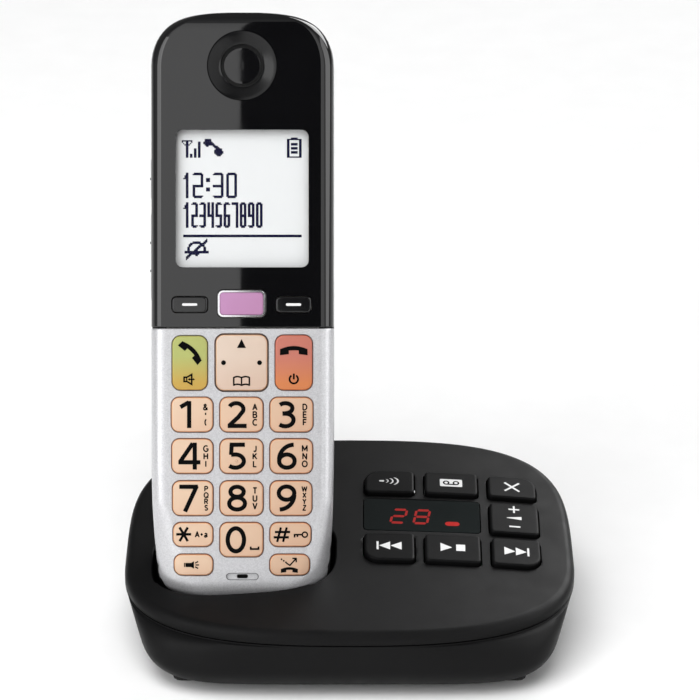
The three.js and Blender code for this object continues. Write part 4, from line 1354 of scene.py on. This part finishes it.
def flat_union(shapes):
    """Points and triangles of the area that the shapes cover together."""
    points, faces = [], []
    for shape in shapes:
        area = sum(p[0] * q[1] - q[0] * p[1] for p, q in zip(shape, np.roll(shape, -1, 0)))
        order = list(range(len(points), len(points) + len(shape)))
        points += [Vector((float(x), float(y))) for x, y in shape]
        faces.append(order if area > 0 else order[::-1])
    made = delaunay_2d_cdt(points, [], faces, 0, 1e-5, True)
    triangles = [tuple(face) for face, source in zip(made[2], made[5]) if source]
    return np.array([tuple(p) for p in made[0]]), triangles


def plate(name, shapes, place, height, body, material, slot=None):
    """A thin raised plate of flat shapes; place turns flat points and a height into world points."""
    flat, triangles = flat_union(shapes)
    used = sorted({i for triangle in triangles for i in triangle})
    number = {old: new for new, old in enumerate(used)}
    flat = flat[used]
    count = len(flat)
    triangles = [tuple(number[i] for i in triangle) for triangle in triangles]
    edges = {(t[i], t[(i + 1) % 3]) for t in triangles for i in range(3)}
    faces = triangles + [tuple(i + count for i in reversed(triangle)) for triangle in triangles]
    faces += [(b, a, a + count, b + count) for a, b in edges if (b, a) not in edges]
    points = np.vstack((place(flat, height), place(flat, height - PRINT_DEPTH)))
    piece_from(name, oriented(points, faces), body, material, slot=slot, sharp=20)


def letter_paths():
    """Middle lines of small letters, 1 high."""
    bowl = [(0, 0), (0, 1), (0.38, 1), (0.57, 0.88), (0.57, 0.62), (0.38, 0.48), (0, 0.48)]
    round_letter = arc(0.42, 0.5, 0.42, 0.5, 0, 360, 20)
    return {
        "A": [[(0, 0), (0.35, 1), (0.7, 0)], [(0.13, 0.35), (0.57, 0.35)]],
        "B": [[(0, 0), (0, 1), (0.38, 1), (0.54, 0.9), (0.54, 0.65), (0.38, 0.53), (0, 0.53)],
              [(0.38, 0.53), (0.6, 0.4), (0.6, 0.14), (0.4, 0), (0, 0)]],
        "C": [arc(0.42, 0.5, 0.42, 0.5, 50, 310)],
        "D": [[(0, 0), (0, 1), (0.28, 1), *arc(0.22, 0.5, 0.44, 0.5, 75, -75, 9), (0.28, 0), (0, 0)]],
        "E": [[(0.55, 1), (0, 1), (0, 0), (0.55, 0)], [(0, 0.52), (0.5, 0.52)]],
        "F": [[(0.55, 1), (0, 1), (0, 0)], [(0, 0.52), (0.48, 0.52)]],
        "G": [[*arc(0.42, 0.5, 0.42, 0.5, 50, 325), (0.76, 0.45), (0.46, 0.45)]],
        "H": [[(0, 0), (0, 1)], [(0.62, 0), (0.62, 1)], [(0, 0.52), (0.62, 0.52)]],
        "I": [[(0, 0), (0, 1)]],
        "J": [[(0.4, 1), (0.4, 0.25), (0.3, 0.03), (0.12, 0), (0, 0.12)]],
        "K": [[(0, 0), (0, 1)], [(0.6, 1), (0.04, 0.4)], [(0.22, 0.6), (0.64, 0)]],
        "L": [[(0, 1), (0, 0), (0.52, 0)]],
        "M": [[(0, 0), (0, 1), (0.4, 0.25), (0.8, 1), (0.8, 0)]],
        "N": [[(0, 0), (0, 1), (0.64, 0), (0.64, 1)]],
        "O": [round_letter],
        "P": [bowl],
        "Q": [round_letter, [(0.5, 0.28), (0.86, -0.06)]],
        "R": [bowl, [(0.3, 0.48), (0.62, 0)]],
        "S": [[(0.55, 0.86), (0.38, 1), (0.14, 0.97), (0.03, 0.76), (0.16, 0.58), (0.44, 0.45),
               (0.57, 0.25), (0.44, 0.03), (0.2, 0), (0, 0.14)]],
        "T": [[(0, 1), (0.66, 1)], [(0.33, 1), (0.33, 0)]],
        "U": [[(0, 1), (0, 0.25), (0.12, 0.04), (0.31, 0), (0.5, 0.04), (0.62, 0.25), (0.62, 1)]],
        "V": [[(0, 1), (0.34, 0), (0.68, 1)]],
        "W": [[(0, 1), (0.24, 0), (0.5, 0.85), (0.76, 0), (1, 1)]],
        "X": [[(0, 0), (0.62, 1)], [(0, 1), (0.62, 0)]],
        "Y": [[(0, 1), (0.33, 0.48), (0.66, 1)], [(0.33, 0.48), (0.33, 0)]],
        "Z": [[(0.02, 1), (0.58, 1), (0, 0), (0.6, 0)]],
        "a": [[(0.06, 0.6), (0.25, 0.72), (0.44, 0.62), (0.48, 0)],
              [(0.47, 0.38), (0.14, 0.33), (0.02, 0.16), (0.16, 0), (0.46, 0.12)]],
        "&": [[(0.7, 0), (0.15, 0.7), (0.15, 0.9), (0.3, 1), (0.45, 0.88), (0.42, 0.68), (0.05, 0.35),
               (0.05, 0.12), (0.25, 0), (0.5, 0.08), (0.68, 0.42)]],
        "'": [[(0, 0.85), (0, 0.45)]],
        "(": [arc(0.45, 0.5, 0.4, 0.62, 120, 240, 9)],
    }


def letter_shapes(letter, height, x, y, thick):
    """One small letter, centred across on x and standing around y."""
    paths = letter_paths()[letter]
    across = [px for path in paths for px, _ in path]
    middle = (min(across) + max(across)) / 2
    shapes = []
    for path in paths:
        line = [((px - middle) * height + x, (py - 0.5) * height + y) for px, py in path]
        shapes += [band(start, end, thick) for start, end in zip(line, line[1:])]
        shapes += [disc_shape(*joint, thick / 2, 8) for joint in line[1:-1]]
    return shapes


DIGIT_STROKE = 0.157


def digit_paths():
    """Middle lines of large digits, 1 high; a line that nearly meets its own start is closed."""
    low, high = DIGIT_STROKE / 2, 1 - DIGIT_STROKE / 2
    return {
        "1": [[(0.41, 0), (0.41, 1)], [(0.10, 0.775), (0.40, 0.955)]],
        "2": [[*arc(0.33, 0.70, 0.255, high - 0.70, 155, -20, 16), (0.40, 0.40), (0.09, 0.10)],
              [(0.03, low), (0.70, low)]],
        "3": [[*arc(0.30, 0.735, 0.25, high - 0.735, 140, -80, 16), (0.20, 0.535)],
              [(0.20, 0.535), *arc(0.30, 0.30, 0.29, 0.235, 85, -135, 18)]],
        "4": [[(0.53, 0.97), (0.09, 0.30)], [(0.02, 0.27), (0.80, 0.27)], [(0.60, 0), (0.60, 1)]],
        "5": [[(0.10, high), (0.64, high)], [(0.17, high), (0.15, 0.545)],
              [(0.15, 0.55), *arc(0.30, 0.315, 0.30, 0.245, 95, -135, 18)]],
        "6": [arc(0.36, 0.315, 0.275, 0.245, 0, 340, 24),
              arc(0.62, 0.36, 0.535, high - 0.36, 178, 92, 16)],
        "7": [[(0.04, high), (0.70, high)], [(0.66, 0.95), (0.24, 0)]],
        "8": [arc(0.36, 0.735, 0.235, high - 0.735, 0, 340, 22),
              arc(0.36, 0.30, 0.28, 0.30 - low, 0, 340, 24)],
        "9": [arc(0.36, 0.685, 0.275, 0.245, 0, 340, 24),
              arc(0.10, 0.64, 0.535, 0.64 - low, -2, -88, 16)],
        "0": [arc(0.36, 0.5, 0.285, high - 0.5, 0, 345, 30)],
    }


def digit_shapes(digit, height, x, y):
    shapes = []
    for path in digit_paths()[digit]:
        scaled = [((px - 0.37) * height * 1.05 + x, (py - 0.5) * height + y) for px, py in path]
        closed = math.dist(path[0], path[-1]) < 0.15
        shapes += stroke(scaled, DIGIT_STROKE * height, closed)
    return shapes


def disc_shape(x, y, radius, count=20):
    return circle(radius, count) + (x, y)


def face_place(node):
    """Puts flat points, measured from the middle of a key, on its top."""
    low, high = handset_box(node)
    middle = ((low + high) / 2)[[0, 2]]
    return lambda points, height: handset_to_world(face_ring(points + middle, height + KEY_PROUD))


def top_place(node, level):
    """Puts flat points on the domed top, measured from the middle of a node and lifted to a level."""
    x, y, _, _ = top_box(node)
    origin, axes = top_frame(x, y)
    return lambda points, height: base_to_world(flat_ring(points, level + height) @ axes + origin)


LETTERS = {
    "key_1": "&'(", "key_2": "ABC", "key_3": "DEF", "key_4": "GHI", "key_5": "JKL",
    "key_6": "MNO", "key_7": "PQRS", "key_8": "TUV", "key_9": "WXYZ",
}


def key_print(name, node, shapes, material=INK):
    """A mark on the top of a handset key."""
    plate(f"{name}_print", shapes, face_place(node), PRINT_HEIGHT, node, material)


def build_key_prints():
    for node, letters in LETTERS.items():
        shapes = digit_shapes(node[-1], 7.6, -1.15, 0.05)
        pitch, size, thick = (2.15, 1.6, 0.38) if len(letters) == 3 else (1.78, 1.35, 0.34)
        for index, letter in enumerate(letters):
            shapes += letter_shapes(letter, size, 3.8, ((len(letters) - 1) / 2 - index) * pitch, thick)
        key_print(node, node, shapes)
    space = stroke([(2.6, -1.9), (2.6, -2.6), (4.8, -2.6), (4.8, -1.9)], 0.5)
    key_print("key_0", "key_0", digit_shapes("0", 7.7, -1.5, 0) + space)
    key_print("key_star", "key_star", star_shapes())
    key_print("key_hash", "key_hash", hash_shapes())
    key_print("torch", "torch_key", torch_shapes())
    key_print("redial", "redial_key", redial_shapes())
    talk = [turn_shape(shape, -45) + (0.4, 3.2) for shape in receiver_shapes()]
    key_print("talk", "talk_key", talk + speaker_shapes(-0.1, -4.6))
    end = [shape + (0.0, 3.5) for shape in receiver_shapes()]
    end += stroke(arc(0, -4.65, 1.2, 1.2, 122, 418, 26), 0.52) + [band((0, -4.7), (0, -3.05), 0.52)]
    key_print("end", "end_key", end)
    nav = [np.array(((-1.25, 4.15), (1.25, 4.15), (0, 6.65)))]
    nav += [disc_shape(-5.07, 0, 0.68), disc_shape(5.07, 0, 0.68)] + book_shapes(0, -5.15)
    key_print("nav", "nav_key", nav)
    for node in SOFTKEYS:
        key_print(node, node, [pill(2.15, 0.36)], WHITE)
    build_key_dot()
    ring = stroke(pill(4.5, 0.95), 0.18, True)
    plate(
        "microphone_outline", ring,
        lambda points, height: handset_to_world(face_ring(points + (0, MICROPHONE_HEIGHT), height)),
        0.02, "handset", GREY,
    )


def build_key_dot():
    """The raised dot that marks the 5 for the fingertip."""
    low, high = handset_box("key_5")
    profile = [(0.42 * math.cos(t), -0.3 * math.sin(t)) for t in np.linspace(0, math.pi / 2, 6)]
    points, faces = turned(0, 0, profile, 20)
    points = points + ((low[0] + high[0]) / 2 - 1.35, -KEY_PROUD - 0.08, low[2] + 3.6)
    handset_piece("key_5_dot", (points, faces), "key_5", PEACH)


def star_shapes():
    """A star, a point and two letters."""
    star = [band((-2.1, 0), (2.1, 0), 0.7)]
    star += [band((-1.15, -1.95 * side), (1.15, 1.95 * side), 0.7) for side in (1, -1)]
    star = [shape + (-2.6, 0.1) for shape in star]
    star.append(turn_shape(rectangle(-0.3, 0.3, -0.3, 0.3), 45) + (2.45, 0.05))
    return star + letter_shapes("A", 1.5, 1.2, 0.05, 0.36) + letter_shapes("a", 1.5, 3.6, 0.05, 0.36)


def hash_shapes():
    """A hash sign and a small key."""
    shapes = [band((-4.4, 0.75), (-0.1, 0.75), 0.66), band((-4.75, -0.75), (-0.45, -0.75), 0.66)]
    shapes += [band((-3.75, -2.05), (-2.7, 2.05), 0.64), band((-2.1, -2.05), (-1.05, 2.05), 0.64)]
    shapes += stroke(arc(4.05, 0, 0.72, 0.72, 0, 345, 20), 0.42, True)
    shapes += [band((3.4, 0), (0.9, 0), 0.46), band((1.15, 0), (1.15, -0.8), 0.46)]
    return shapes + [band((1.95, 0), (1.95, -0.65), 0.46)]


def torch_shapes():
    shapes = [rectangle(-2.2, -1.95, -0.62, 0.62), rectangle(-1.8, -0.1, -0.62, 0.62)]
    shapes.append(np.array(((-0.1, -0.62), (0.75, -1.1), (0.75, 1.1), (-0.1, 0.62))))
    shapes += [turn_shape(band((1.15, 0), (2.2, 0), 0.38), angle) + (0.05, 0) for angle in (-28, 0, 28)]
    return [shape * 0.95 - (0.55, 0) for shape in shapes]


def redial_shapes():
    shapes = [shape * 0.62 + (-0.1, -1.35) for shape in receiver_shapes()]
    shapes += stroke([(-0.95, 0.55), (0.05, -0.1), (1.75, 1.75)], 0.4)
    shapes += [band((0.75, 1.85), (1.95, 1.85), 0.4), band((1.85, 1.95), (1.85, 0.75), 0.4)]
    return shapes + [disc_shape(-2.3 + 0.62 * i, 1.6 - 0.42 * i, 0.26, 10) for i in range(3)]


def speaker_shapes(x, y):
    horn = [(-1.5, -0.6), (-0.7, -0.6), (0.65, -1.4), (0.65, 1.4), (-0.7, 0.6), (-1.5, 0.6)]
    shapes = stroke(horn, 0.46, True)
    shapes += [band((-0.75, -0.6), (-0.75, 0.6), 0.32), band((-0.3, 0), (1.4, 0), 0.34)]
    for tip, foot, reach in ((-0.45, 0.15, 0.4), (1.55, 1.05, 0.35)):
        shapes.append(np.array(((tip, 0.0), (foot, -reach), (foot, reach))))
    return [shape + (x, y) for shape in shapes]


def book_shapes(x, y):
    """An open book."""
    shapes = []
    for side in (-1, 1):
        for foot in (0.95, -1.2):
            edge = [(side * s, foot + 0.28 * math.sin(math.pi * s / 2.3)) for s in np.linspace(0, 2.25, 9)]
            shapes += stroke(edge, 0.46)
        shapes.append(band((side * 2.2, -1.35), (side * 2.2, 1.1), 0.46))
    shapes.append(band((0, -1.4), (0, 1.0), 0.42))
    return [shape + (x, y) for shape in shapes]


def arrow(x, y, side, size):
    return np.array(((x, y - size), (x + side * size * 1.75, y), (x, y + size)))


def base_print(name, node, shapes, lift=0.0, material=WHITE):
    """A mark on the top of a base key."""
    plate(name, shapes, top_place(node, BASE_KEY_PROUD), PRINT_HEIGHT + lift, node, material)


def wave_shapes():
    """A dash and three crescents that grow."""
    waves = [pill(0.75, 0.36) + (-2.3, 0)]
    for x, reach, thick in ((-0.5, 0.95, 0.42), (0.85, 1.45, 0.55), (2.3, 1.95, 0.7)):
        outer = arc(x - reach * 0.9, 0, reach * 1.15, reach, -62, 62, 12)
        inner = arc(x - reach * 0.9 - thick * 0.75, 0, reach * 1.15, reach, 58, -58, 12)
        waves += [np.array((outer[k], outer[k + 1], inner[-2 - k], inner[-1 - k])) for k in range(11)]
    return waves


def build_base_prints():
    base_print("locator_print", "key_locator", wave_shapes())
    reels = [disc_shape(x, 0, 1.0) for x in (-1.45, 1.45)] + [rectangle(-1.45, 1.45, -1.0, -0.5)]
    base_print("answer_print", "key_answer", [rounded(-3.3, 3.3, -1.75, 1.75, 0.4, steps=4)])
    base_print("answer_reels", "key_answer", reels, 0.02, INK)
    base_print("answer_hubs", "key_answer", [disc_shape(x, 0, 0.5) for x in (-1.45, 1.45)], 0.04)
    cross = [band((-2.15, -2 * side), (2.15, 2 * side), 0.62) for side in (1, -1)]
    base_print("erase_print", "key_erase", cross)
    volume = [band((-1.6, 4.1), (1.6, 4.1), 0.6), band((0, 2.5), (0, 5.7), 0.55)]
    volume.append(np.array(((-2.2, -0.1), (2.1, -0.75), (2.1, 0.75), (-2.2, 0.1))))
    base_print("base_volume_print", "key_base_volume", volume + [band((-1.6, -4.1), (1.6, -4.1), 0.62)])
    skip = [rectangle(-3.7, -3.1, -1.85, 1.85), arrow(0.2, 0, -1, 1.8), arrow(3.5, 0, -1, 1.8)]
    base_print("rewind_print", "key_rewind", skip)
    base_print("forward_print", "key_forward", [shape * (-1, 1) for shape in skip])
    play = [arrow(-3.6, 0, 1, 1.9), rectangle(0.9, 3.5, -1.45, 1.45)]
    base_print("play_stop_print", "key_play_stop", play)


def segment_shapes(digit, x, y, width, height, slant):
    """A slanted seven-segment digit with a gap between its bars."""
    half, thick, side, gap = height / 2, 0.5, 0.36, 0.22
    bars = {
        "a": (0, height, width, height, thick), "g": (0, half, width, half, thick),
        "d": (0, 0, width, 0, thick),
        "f": (0, half, 0, height, side), "b": (width, half, width, height, side),
        "e": (0, 0, 0, half, side), "c": (width, 0, width, half, side),
    }
    shapes = []
    for segment in SEGMENTS[digit]:
        x0, y0, x1, y1, wide = bars[segment]
        start, end = np.array((x0, y0), float), np.array((x1, y1), float)
        along = (end - start) / np.linalg.norm(end - start)
        across = np.array((-along[1], along[0])) * wide
        start, end, taper = start + along * gap, end - along * gap, along * wide * 0.7
        lower = (start + taper - across, end - taper - across)
        shape = (start, *lower, end, end - taper + across, start + taper + across)
        shapes.append(np.array([(x + px + slant * py, y + py) for px, py in shape]))
    return shapes


def build_display():
    x, y, half_x, half_y = top_box("display_window")
    rings = []
    for inset, height in ((0, -1.1), (0, -0.12), (0.02, -0.1), (0.5, -0.1), (1.0, -0.1)):
        rings.append(flat_ring(rounded(-half_x, half_x, -half_y, half_y, 1.2, inset), height))
    pane = on_top(loft(rings), x, y)
    base_piece("display_pane", pane, "base", SMOKED, ("display_window",), "glossy_black")
    place = top_place("display_window", -0.1)
    digits = segment_shapes("2", 11.9 - x, 11.3 - y, 3.9, 6.2, 0.16)
    digits += segment_shapes("8", 18.6 - x, 11.3 - y, 3.9, 6.2, 0.16)
    plate("display_digits", digits, place, 0.02, "base", LED, "display")
    plate("display_bar", [pill(2.1, 0.95) + (29.9 - x, 11.5 - y)], place, 0.02, "base", LED_BAR, "display")


# ---- Parts that keep their CAD shape ----


def dress(names, material, bevel=0.0):
    for name in names:
        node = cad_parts[name]
        node.data.materials.clear()
        node.data.materials.append(material)
        if bevel:
            modifier = node.modifiers.new("soft_edges", "BEVEL")
            modifier.width = bevel * MM
            modifier.segments = 3
            modifier.limit_method = "ANGLE"
            modifier.angle_limit = math.radians(40)
            modifier.harden_normals = True


def dress_cad_parts():
    dress(FEET, RUBBER, 0.4)
    dress(("dc_jack", "line_jack"), SATIN, 0.15)
    for side in ("left", "right"):
        dress((f"cradle_contact_{side}", f"handset_contact_{side}"), GOLD, 0.2)
    dress(("base_board", "handset_board"), BOARD)
    dress(("base_speaker", "earpiece_speaker"), STEEL)
    dress(("microphone",), RUBBER)
    dress(("keypad_mat", "nav_pivot"), MAT)
    dress(("battery_cell_1", "battery_cell_2"), CELL, 0.2)
    dress(("torch_lens",), CLEAR, 0.2)
    dress(("display_module",), SATIN)


# ---- Studio ----


def card(name, location, target, width, height, power, colour=(1.0, 1.0, 1.0)):
    """A soft light that looks from its place at a target."""
    data = bpy.data.lights.new(name, "AREA")
    data.shape = "RECTANGLE"
    data.size, data.size_y = width, height
    data.energy = power
    data.color = colour
    light = bpy.data.objects.new(name, data)
    light.location = location
    light.rotation_euler = (Vector(target) - Vector(location)).to_track_quat("-Z", "Y").to_euler()
    light.visible_camera = False
    bpy.context.scene.collection.objects.link(light)
    return light


CAMERA_TARGET = Vector((0, 0.011354, 0.0771))
CAMERA_ELEVATION = math.radians(26)
CAMERA_DISTANCE = 0.85
CAMERA_LENS = 151.72
BACK = Vector((0, -math.cos(CAMERA_ELEVATION), math.sin(CAMERA_ELEVATION)))
CAMERA_UP = Vector((0, math.sin(CAMERA_ELEVATION), math.cos(CAMERA_ELEVATION)))
CAMERA_PLACE = CAMERA_TARGET + BACK * CAMERA_DISTANCE + Vector((0.000115, 0, 0))


def build_camera():
    data = bpy.data.cameras.new("camera")
    data.lens = CAMERA_LENS
    data.sensor_width = 36
    data.clip_start, data.clip_end = 0.05, 20
    camera = bpy.data.objects.new("camera", data)
    camera.location = CAMERA_PLACE
    camera.rotation_euler = (-BACK).to_track_quat("-Z", "Y").to_euler()
    bpy.context.scene.collection.objects.link(camera)
    bpy.context.scene.camera = camera


def build_floor():
    """A pale floor with a faint fine grain."""
    side, cells = 6.0, 12
    places = [(i / cells - 0.5) * side for i in range(cells + 1)]
    faces = []
    for i in range(cells):
        for j in range(cells):
            a = i * (cells + 1) + j
            faces.append((a, a + cells + 1, a + cells + 2, a + 1))
    mesh = bpy.data.meshes.new("floor")
    mesh.from_pydata([(x, y, 0.0) for x in places for y in places], [], faces)
    pale = moulded("pale_floor", (0.93, 0.93, 0.93), 0.7, 300.0, 0.0001, 0.01, Specular_IOR_Level=0.1)
    mesh.materials.append(pale)
    floor = bpy.data.objects.new("floor", mesh)
    bpy.context.scene.collection.objects.link(floor)


def dark_flag(x0, x1, distance):
    """A black card beside the camera that only shows in reflections."""
    centre = CAMERA_TARGET + BACK * distance
    corners = []
    for x, up in ((x0, -0.6), (x1, -0.6), (x1, 0.75), (x0, 0.75)):
        corners.append(Vector((x, centre.y, centre.z)) + CAMERA_UP * up)
    mesh = bpy.data.meshes.new("dark_flag")
    mesh.from_pydata([tuple(p) for p in corners], [], [(0, 1, 2, 3)])
    mesh.materials.append(moulded("flag_black", (0.001, 0.001, 0.001), 0.9, Specular_IOR_Level=0.0))
    flag = bpy.data.objects.new("dark_flag", mesh)
    for ray in ("camera", "diffuse", "shadow", "transmission"):
        setattr(flag, f"visible_{ray}", False)
    bpy.context.scene.collection.objects.link(flag)


def mirror_card(name, x0, x1, distance, radiance):
    """A bright card beside the camera that only shows in reflections."""
    centre = CAMERA_TARGET + BACK * distance
    place = Vector(((x0 + x1) / 2, centre.y, centre.z))
    area = (x1 - x0) * 1.2
    light = card(name, place, place - BACK, x1 - x0, 1.2, radiance * area * math.pi)
    light.visible_diffuse = False


def build_studio():
    world = bpy.data.worlds.new("studio")
    bpy.context.scene.world = world
    world.use_nodes = True
    tree = world.node_tree
    background = tree.nodes["Background"]
    place = tree.nodes.new("ShaderNodeTexCoord").outputs["Generated"]
    split = tree.nodes.new("ShaderNodeSeparateXYZ")
    tree.links.new(place, split.inputs["Vector"])
    lift = tree.nodes.new("ShaderNodeMath")
    lift.operation = "MULTIPLY_ADD"
    lift.inputs[1].default_value = 0.45
    tree.links.new(split.outputs["Z"], lift.inputs[0])
    tree.links.new(split.outputs["Y"], lift.inputs[2])
    front = spread(tree, lift.outputs["Value"], 0.75, 0.2, -0.55, 0.25)
    tree.links.new(front, background.inputs["Strength"])
    background.inputs["Color"].default_value = (1.0, 1.0, 1.0, 1.0)
    card("top_light", (-0.25, -0.35, 1.3), (0, 0.02, 0), 1.2, 0.9, 15).visible_glossy = False
    card("left_light", (-1.0, -0.7, 0.65), (0, 0, 0.08), 0.7, 0.9, 5)
    card("back_light", (0.4, 1.3, 0.9), (0, 0, 0.05), 1.0, 0.5, 6).visible_glossy = False
    mirror_card("left_card", -0.6615, -0.0615, 0.851, 0.72)
    mirror_card("right_card", 0.17, 0.6, 0.851, 0.45)
    dark_flag(-0.0615, 0.16, 0.85)
    side_card = card("side_card", (1.3, -0.3, 0.65), (0, 0, 0.12), 1.1, 1.0, 2.3 * 1.1 * math.pi)
    side_card.visible_diffuse = False
    rear_card = card("rear_card", (1.0, 1.0, 1.1), (0.02, 0, 0.03), 1.5, 1.2, 7.4 * 1.8 * math.pi)
    rear_card.visible_diffuse = False
    scene = bpy.context.scene
    scene.view_settings.view_transform = "Standard"
    scene.view_settings.look = "None"


build_camera()
build_top_cover()
build_bottom_case()
build_front_covers()
build_rear_shell()
build_battery_door()
build_side_keys()
build_earpiece()
build_screen()
build_keys()
build_key_prints()
build_base_prints()
build_display()
dress_cad_parts()
build_floor()
build_studio()
